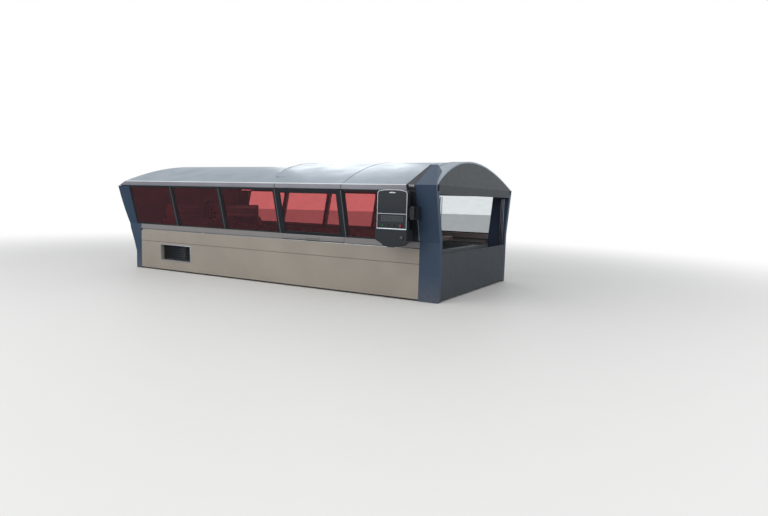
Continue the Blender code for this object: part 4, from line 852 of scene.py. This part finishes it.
class MACHINE_OT_end_fittings(bpy.types.Operator):
    """Makes the trims, the dark cover and the lock beside the right column, and the door's guides"""
    bl_idname = "machine.end_fittings"
    bl_label = "End fittings"

    def execute(self, context):
        end = context.scene.machine_end
        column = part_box("near_right_column")[0].x
        edge = column - 0.004
        section = round_section(0.014, 0.010, 0.004)
        trims = [side_strip(section, edge, side, SILL_TOP + 0.02, end.trim_top, 0.007) for side in SIDES]
        make_piece("column_trims", trims, "trim")
        cover = side_strip(round_section(end.cover_width, 0.008, 0.003), edge - end.cover_width / 2, -1.0,
                           STRIP_BASE, STRIP_TOP, 0.002)
        make_piece("end_post_cover", cover, "black")
        lock = [(column - end.lock_inset, -side_y(end.lock_height, 0.006), end.lock_height)]
        knob = turned(((0.026, -0.006), (0.026, 0.008), (0.022, 0.011), (0.012, 0.012), (0.012, 0.022),
                       (0.009, 0.024)), lock, side_out(-1.0), 28)
        make_piece("window_lock", knob, "trim")
        guides = []
        for side in SIDES:
            y = side * (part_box("door_upper_leaf")[1].y + 0.0003 - end.guide_depth / 2)
            for node in ("door_upper_leaf", "door_lower_leaf"):
                low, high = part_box(node)
                guides += [blocks((x, y, (low.z + end.guide_top) / 2),
                                  (0.006, end.guide_depth, end.guide_top - low.z), 0.0015)
                           for x in (low.x - 0.004, high.x + 0.004)]
        make_piece("door_guides", guides, "steel")
        return {"FINISHED"}


class MACHINE_OT_panel_trims(bpy.types.Operator):
    """Makes the beads along the side panels' top edges and the lip round the port"""
    bl_idname = "machine.panel_trims"
    bl_label = "Panel trims"

    def execute(self, context):
        low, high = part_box("near_upper_panel")
        caps = [rod((low.x + 0.05, side * (SIDE - 0.003), high.z + 0.001), high.x - low.x - 0.06, 0.0045)
                for side in SIDES]
        make_piece("panel_caps", caps, "trim")
        low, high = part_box("port_grille")
        corners = [(x, -SIDE, z) for x, z in rectangle(low.x, high.x, low.z, high.z)]
        lip = mitred(corners, (0.0, -1.0, 0.0), half_round(-0.014, 0.005))
        make_piece("port_lip", lip, "trim", looped=True)
        return {"FINISHED"}


class MACHINE_OT_bed_fittings(bpy.types.Operator):
    """Makes the racks beside the guide rails"""
    bl_idname = "machine.bed_fittings"
    bl_label = "Bed fittings"

    def execute(self, context):
        teeth, pitch = [], context.scene.machine_gantry.rack_pitch
        for node, side in zip(("near_guide_rail", "far_guide_rail"), SIDES):
            low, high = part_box(node)
            count = int((high.x - low.x - 0.1) / pitch)
            centres = coordinates(low.x + 0.05 + pitch * np.arange(count),
                                  (low.y if side < 0 else high.y) - side * 0.005, (low.z + high.z) / 2)
            teeth.append(blocks(centres, (pitch * 0.5, 0.0085, 0.022), 0.0012))
        make_piece("racks", teeth, "steel")
        return {"FINISHED"}


class MACHINE_OT_lamps(bpy.types.Operator):
    """Makes the lamp battens under the roof, one on each side of every bay"""
    bl_idname = "machine.lamps"
    bl_label = "Lamps"

    def execute(self, context):
        roof, lamp = context.scene.machine_roof, context.scene.machine_lamps
        start, seam = (corner.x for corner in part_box("roof_left"))
        bodies, covers = [], []
        for side in SIDES:
            for first, last in bays(start + 0.4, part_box("roof_right")[1].x):
                ridge = LOW_RIDGE if first < seam - 0.1 else HIGH_RIDGE
                line, normal = roof_line(np.array((side * lamp.reach,)), ridge, roof, -roof.sheet - SKIN_GAP)
                up = np.array((0.0, *normal[0]))
                axes = np.array((np.cross(up, (1.0, 0.0, 0.0)), up, (1.0, 0.0, 0.0)))
                middle = np.array(((first + last) / 2, *line[0]))
                size = last - first - lamp.end_room
                bodies.append(blocks(middle - up * lamp.height / 2, (lamp.width, lamp.height, size),
                                     0.003, axes))
                covers.append(blocks(middle - up * (lamp.height + 0.01),
                                     (lamp.width * 0.8, lamp.height, size - 0.03), 0.009, axes))
        make_piece("lamp_bodies", bodies, "machine")
        make_piece("lamp_covers", covers, "opal")
        return {"FINISHED"}


class MACHINE_OT_gantry_fittings(bpy.types.Operator):
    """Makes the beam's bearing rails with their bolts, and the saddle with its bearing blocks"""
    bl_idname = "machine.gantry_fittings"
    bl_label = "Gantry fittings"

    def execute(self, context):
        gantry = context.scene.machine_gantry
        low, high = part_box("gantry_beam")
        saddle_low, saddle_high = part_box("cross_saddle")
        middle, size = (saddle_low + saddle_high) / 2, saddle_high - saddle_low
        rails, bolts, cheeks = [], [], []
        face, reach, pitch = high.x, high.y - 0.14, gantry.bolt_pitch
        y = np.arange(-reach + pitch / 2, reach, pitch)
        for z in (low.z + gantry.rail_inset, high.z - gantry.rail_inset):
            rails.append(blocks((face + gantry.rail_height / 2, 0.0, z),
                                (gantry.rail_height, 2 * reach, gantry.rail_width), 0.002))
            bolts.append(turned(((0.0045, 0.0), (0.0045, 0.0012), (0.003, 0.0014)),
                                coordinates(face + gantry.rail_height - SKIN_GAP, y, z), (1, 0, 0), 12))
            cheeks += [blocks((face + 0.009, middle.y + along, z + off), (0.012, 0.075, 0.013), 0.002)
                       for along in (-0.09, 0.09) for off in (-0.0185, 0.0185)]
        make_piece("beam_rails", rails, "steel", "gantry")
        make_piece("beam_rail_bolts", bolts, "plastic", "gantry")
        base = face + gantry.rail_height + 0.002
        plate = blocks(((base + saddle_high.x) / 2, middle.y, middle.z),
                       (saddle_high.x - base, size.y, size.z), 0.008)
        saddle = make_piece("saddle_body", [plate, *cheeks], "black", "saddle")
        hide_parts("cross_saddle")
        return {"FINISHED"}


# Turned parts of the cutting head from the top down, as radius and height above the floor
HEAD_BODY = ((0.020, 1.538), (0.026, 1.530), (0.026, 1.462), (0.034, 1.455), (0.050, 1.450), (0.054, 1.444),
             (0.054, 1.352), (0.050, 1.348), (0.050, 1.336), (0.054, 1.332), (0.054, 1.222), (0.050, 1.216),
             (0.046, 1.214), (0.046, 1.150), (0.042, 1.110), (0.036, 1.080), (0.030, 1.060))
CERAMIC_RING = ((0.026, 1.060), (0.0285, 1.056), (0.0285, 1.034), (0.024, 1.030))
NOZZLE = ((0.022, 1.030), (0.022, 1.020), (0.017, 1.014), (0.017, 0.998), (0.0145, 0.990), (0.006, 0.964),
          (0.0035, 0.961))
SLIDE_MIDDLE = 1.25
CLAMP_HEIGHTS = (1.39, 1.27)
DRAWER_HEIGHT = 1.18


class MACHINE_OT_head_fittings(bpy.types.Operator):
    """Makes the cutting head: slide, collimator, focusing body, lens drawer, ceramic ring and nozzle"""
    bl_idname = "machine.head_fittings"
    bl_label = "Cutting head"

    def execute(self, context):
        low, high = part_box("cutting_head")
        x, y = high.x - 0.055, (low.y + high.y) / 2
        body, ring, nozzle = (turned(profile, (x, y, 0.0), (0, 0, 1), sides) for profile, sides in (
            (HEAD_BODY, 40), (CERAMIC_RING, 40), (NOZZLE, 32)))
        slide = blocks((low.x + 0.014, y, SLIDE_MIDDLE), (0.027, 0.138, 0.34), 0.004)
        clamps = blocks([(x - 0.03, y, z) for z in CLAMP_HEIGHTS], (0.045, 0.110, 0.05), 0.004)
        head = make_piece("head_body", [body, slide, clamps], "machine", "head")
        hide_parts("cutting_head")
        drawer = blocks((x + 0.002, y, DRAWER_HEIGHT), (0.096, 0.070, 0.030), 0.004)
        make_piece("lens_drawer", drawer, "plastic", "head")
        make_piece("ceramic_ring", ring, "ceramic", "head")
        make_piece("nozzle", nozzle, "copper", "head")
        return {"FINISHED"}


class MACHINE_OT_console_fittings(bpy.types.Operator):
    """Makes the console's keys, status lamp, display edge, bright lip and the desk's wheel"""
    bl_idname = "machine.console_fittings"
    bl_label = "Console fittings"

    def execute(self, context):
        console = context.scene.machine_console
        low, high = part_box("console_bezel")
        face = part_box("console_housing")[0].y
        screen_low, screen_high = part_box("console_screen")
        middle = (low.x + high.x) / 2
        columns = middle + console.key_pitch * (np.arange(16) - 7.5)
        rows = screen_low.z - console.keys_drop - console.key_pitch * np.arange(4)
        centres = coordinates(columns, face - 0.001, rows[:, None])
        keys = blocks(centres, (console.key, 0.006, console.key), 0.0018)
        make_piece("console_keys", keys, "key", "console")
        glass = screen_low.y
        lamp = turned(((0.060, 0.0), (0.060, 0.002), (0.054, 0.005), (0.0, 0.006)), (0.0, 0.0, 0.0),
                      (0, -1, 0), 40) * (1.0, 1.0, 0.2)
        make_piece("status_lamp", lamp + (middle, glass + 0.001, screen_high.z - 0.04), "trim", "console")
        corners = [(x, glass, z) for x, z in rectangle(
            low.x + console.display_inset, high.x - console.display_inset, screen_low.z + 0.02, high.z - 0.1)]
        edge = mitred(corners, (0.0, -1.0, 0.0), half_round(0.006, 0.002, 5))
        make_piece("display_edge", edge, "plastic", "console", looped=True)
        lip = blocks((middle, low.y - 0.002, low.z + console.lip / 2),
                     (high.x - low.x - 0.002, 0.016, console.lip), 0.005)
        make_piece("console_lip", lip, "trim", "console")
        desk_low, desk_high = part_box("console_desk")
        spot = (high.x - 0.075, desk_low.y + 0.001, desk_high.z - 0.11)
        rim = console.wheel
        wheel = turned(((rim * 0.5, 0.0), (rim * 0.5, 0.008), (rim, 0.010), (rim, 0.022), (rim * 0.9, 0.025),
                        (rim * 0.3, 0.024), (0.001, 0.0235)), spot, (0, -1, 0), 32)
        make_piece("desk_wheel", wheel, "key", "console")
        return {"FINISHED"}


class MACHINE_OT_fasteners(bpy.types.Operator):
    """Makes the duct's bolts, the feet's nuts and the screws of the end apron"""
    bl_idname = "machine.fasteners"
    bl_label = "Fasteners"

    def execute(self, context):
        low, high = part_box("duct_stub")
        middle = (low + high) / 2
        x, z = around(12, (high.z - low.z) / 2 - 0.016)
        spots = coordinates(middle.x + x, high.y - 0.0045, middle.z + z)
        heads = [turned(((0.0065, 0.0), (0.0065, 0.005), (0.0055, 0.006)), spots, (0, -1, 0), 6)]
        for node in ("near_left_foot", "near_right_foot", "far_left_foot", "far_right_foot"):
            low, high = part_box(node)
            heads.append(turned(((0.046, 0.0), (0.05, 0.003), (0.05, 0.021), (0.046, 0.024)),
                                (*((low + high) / 2).xy, 0.08), (0, 0, 1), 6))
        make_piece("duct_bolts_and_nuts", heads, "zinc", sharp=25.0)
        low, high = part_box("end_apron")
        spots = coordinates(high.x - 0.0015, np.linspace(low.y + 0.06, high.y - 0.06, 11),
                            ((low.z + 0.04,), (high.z - 0.04,)))
        screws = turned(((0.007, 0.0), (0.007, 0.002), (0.0045, 0.0035)), spots, (1, 0, 0), 16)
        make_piece("apron_screws", screws, "plastic")
        return {"FINISHED"}


def placed(level, over, back, place):
    """The matrix of a lamp or camera from its three directions and its place."""
    matrix = np.eye(4)
    matrix[:3] = np.stack((level, over, back, place), 1)
    return Matrix(matrix.tolist())


def facing(place, target):
    """The matrix of a lamp at a place that shines at a target."""
    ahead = np.array(target) - np.array(place)
    ahead = ahead / np.linalg.norm(ahead)
    level = np.cross(ahead, (0.0, 0.0, 1.0))
    level /= np.linalg.norm(level)
    return placed(level, np.cross(level, ahead), -ahead, place)


# Each lamp's name, place, target, width in metres and power in watts
LAMPS = (
    ("key lamp", (-2.0, -9.0, 8.0), (0.0, 0.0, 1.0), 12.0, 700.0),
    ("end lamp", (11.0, -3.0, 6.0), (2.0, 0.0, 1.0), 8.0, 250.0),
    ("back lamp", (-4.8, 8.1, 6.8), (1.8, -0.8, 2.2), 5.0, 125.0),
)
# The room as the eye sees it, as it lights, as glossy faces mirror it, and as it lights through a pane
WHITE = (1.0, 1.0, 1.0, 1.0)
ROOM = (0.62, 0.62, 0.62, 1.0)
MIRRORED_ROOM = (0.74, 0.78, 0.82, 1.0)
ROOM_THROUGH_PANES = (0.12, 0.12, 0.12, 1.0)


class MACHINE_OT_stage(bpy.types.Operator):
    """Makes the floor, the lights and the camera at the photograph's angle"""
    bl_idname = "machine.stage"
    bl_label = "Stage"

    def execute(self, context):
        stage = context.scene.machine_stage
        self.make_floor(stage)
        self.make_lights(context.scene)
        self.make_camera(context.scene, stage)
        context.scene.view_settings.view_transform = "Standard"
        return {"FINISHED"}

    def make_floor(self, stage):
        """A wide disc, which fades to the background 5 to 15 m off and is darker in a mirror image."""
        mesh = bpy.data.meshes.new("floor")
        rim = coordinates(*around(64, stage.floor_radius), -SKIN_GAP)
        mesh.from_pydata(rim.tolist(), [], [list(range(len(rim)))])
        material, tree, shader, place = start_material("pale floor")
        distance = add(tree, "VectorMath", {0: place}, operation="LENGTH").outputs["Value"]
        far = add(tree, "MapRange", {0: distance, 1: 5.0, 2: 15.0}, interpolation_type="SMOOTHSTEP")
        path = add(tree, "LightPath").outputs
        share = joined(tree, "MULTIPLY", far.outputs[0], path["Is Camera Ray"])
        tone = mixed(tree, noise(tree, place, 3.0, 6.0), shaded(tuple(stage.floor), 0.97), tuple(stage.floor))
        mirrored = joined(tree, "SUBTRACT", path["Is Glossy Ray"], path["Is Transmission Ray"],
                          use_clamp=True)
        tree.links.new(mixed(tree, mirrored, tone, tuple(stage.mirrored_floor)), shader.inputs["Base Color"])
        shader.inputs["Roughness"].default_value = 0.55
        glow = add(tree, "Emission", {"Color": WHITE, "Strength": 1.0})
        blend = add(tree, "MixShader", {0: share, 1: shader.outputs[0], 2: glow.outputs[0]})
        tree.links.new(blend.outputs[0], tree.nodes["Material Output"].inputs["Surface"])
        mesh.materials.append(material)
        put("floor", mesh)

    def make_lights(self, scene):
        """An even room, white to the eye and through the panes and dimmer as a light, and soft lamps."""
        world = bpy.data.worlds.new("room")
        scene.world = world
        world.use_nodes = True
        tree = world.node_tree
        path = add(tree, "LightPath").outputs
        first = joined(tree, "LESS_THAN", path["Diffuse Depth"], 0.5)
        through = joined(tree, "MULTIPLY", path["Is Transmission Ray"], first)
        seen = joined(tree, "MAXIMUM", path["Is Camera Ray"], through)
        room = mixed(tree, path["Is Glossy Ray"], ROOM, MIRRORED_ROOM)
        room = mixed(tree, path["Is Transmission Ray"], room, ROOM_THROUGH_PANES)
        tree.links.new(mixed(tree, seen, room, WHITE), tree.nodes["Background"].inputs["Color"])
        tree.nodes["Background"].inputs["Strength"].default_value = 1.0
        for name, place, target, width, power in LAMPS:
            lamp = bpy.data.lights.new(name, "AREA")
            lamp.size, lamp.energy = width, power
            thing = put(name, lamp)
            thing.visible_transmission = thing.visible_camera = False
            thing.matrix_world = facing(place, target)

    def make_camera(self, scene, stage):
        """The photograph's camera, turned by its yaw and pitch and then rolled about its own view."""
        flat = np.array((-math.sin(stage.yaw), math.cos(stage.yaw), 0.0))
        ahead = flat * math.cos(stage.pitch) - (0.0, 0.0, math.sin(stage.pitch))
        level = np.array((math.cos(stage.yaw), math.sin(stage.yaw), 0.0))
        over = np.cross(level, ahead)
        right = math.cos(stage.roll) * level + math.sin(stage.roll) * over
        up = math.cos(stage.roll) * over - math.sin(stage.roll) * level
        lens = bpy.data.cameras.new("camera")
        lens.sensor_width, lens.lens, lens.clip_end = 36.0, stage.lens, 200.0
        scene.camera = put("camera", lens)
        place = (stage.camera_x, stage.camera_y, stage.eye_height)
        scene.camera.matrix_world = placed(right, up, -ahead, place)


class MACHINE_PT_panel(bpy.types.Panel):
    """Lists the machine's groups of pieces."""
    bl_idname = "MACHINE_PT_panel"
    bl_label = "Laser machine"
    bl_space_type = "VIEW_3D"
    bl_region_type = "UI"
    bl_category = "Laser machine"

    def draw(self, context):
        for operator in OPERATORS:
            self.layout.operator(operator.bl_idname)


SETTINGS = {
    "machine_paint": PaintSettings,
    "machine_roof": RoofSettings,
    "machine_glazing": GlazingSettings,
    "machine_console": ConsoleSettings,
    "machine_leaf": LeafSettings,
    "machine_end": EndSettings,
    "machine_lamps": LampSettings,
    "machine_gantry": GantrySettings,
    "machine_stage": StageSettings,
}
OPERATORS = (
    MACHINE_OT_finishes,
    MACHINE_OT_roof,
    MACHINE_OT_eaves,
    MACHINE_OT_glazing,
    MACHINE_OT_leaf_fittings,
    MACHINE_OT_end_fittings,
    MACHINE_OT_panel_trims,
    MACHINE_OT_bed_fittings,
    MACHINE_OT_lamps,
    MACHINE_OT_gantry_fittings,
    MACHINE_OT_head_fittings,
    MACHINE_OT_console_fittings,
    MACHINE_OT_fasteners,
    MACHINE_OT_stage,
)


def register():
    """Registers the settings, the operators and the panel."""
    for name, group in SETTINGS.items():
        bpy.utils.register_class(group)
        setattr(bpy.types.Scene, name, bpy.props.PointerProperty(type=group))
    for operator in (*OPERATORS, MACHINE_PT_panel):
        bpy.utils.register_class(operator)


def unregister():
    """Takes them away again."""
    for operator in reversed((*OPERATORS, MACHINE_PT_panel)):
        bpy.utils.unregister_class(operator)
    for name, group in SETTINGS.items():
        delattr(bpy.types.Scene, name)
        bpy.utils.unregister_class(group)


def main():
    """Runs every operator in order."""
    register()
    for operator in OPERATORS:
        group, name = operator.bl_idname.split(".")
        getattr(getattr(bpy.ops, group), name)()


if __name__ == "__main__":
    main()
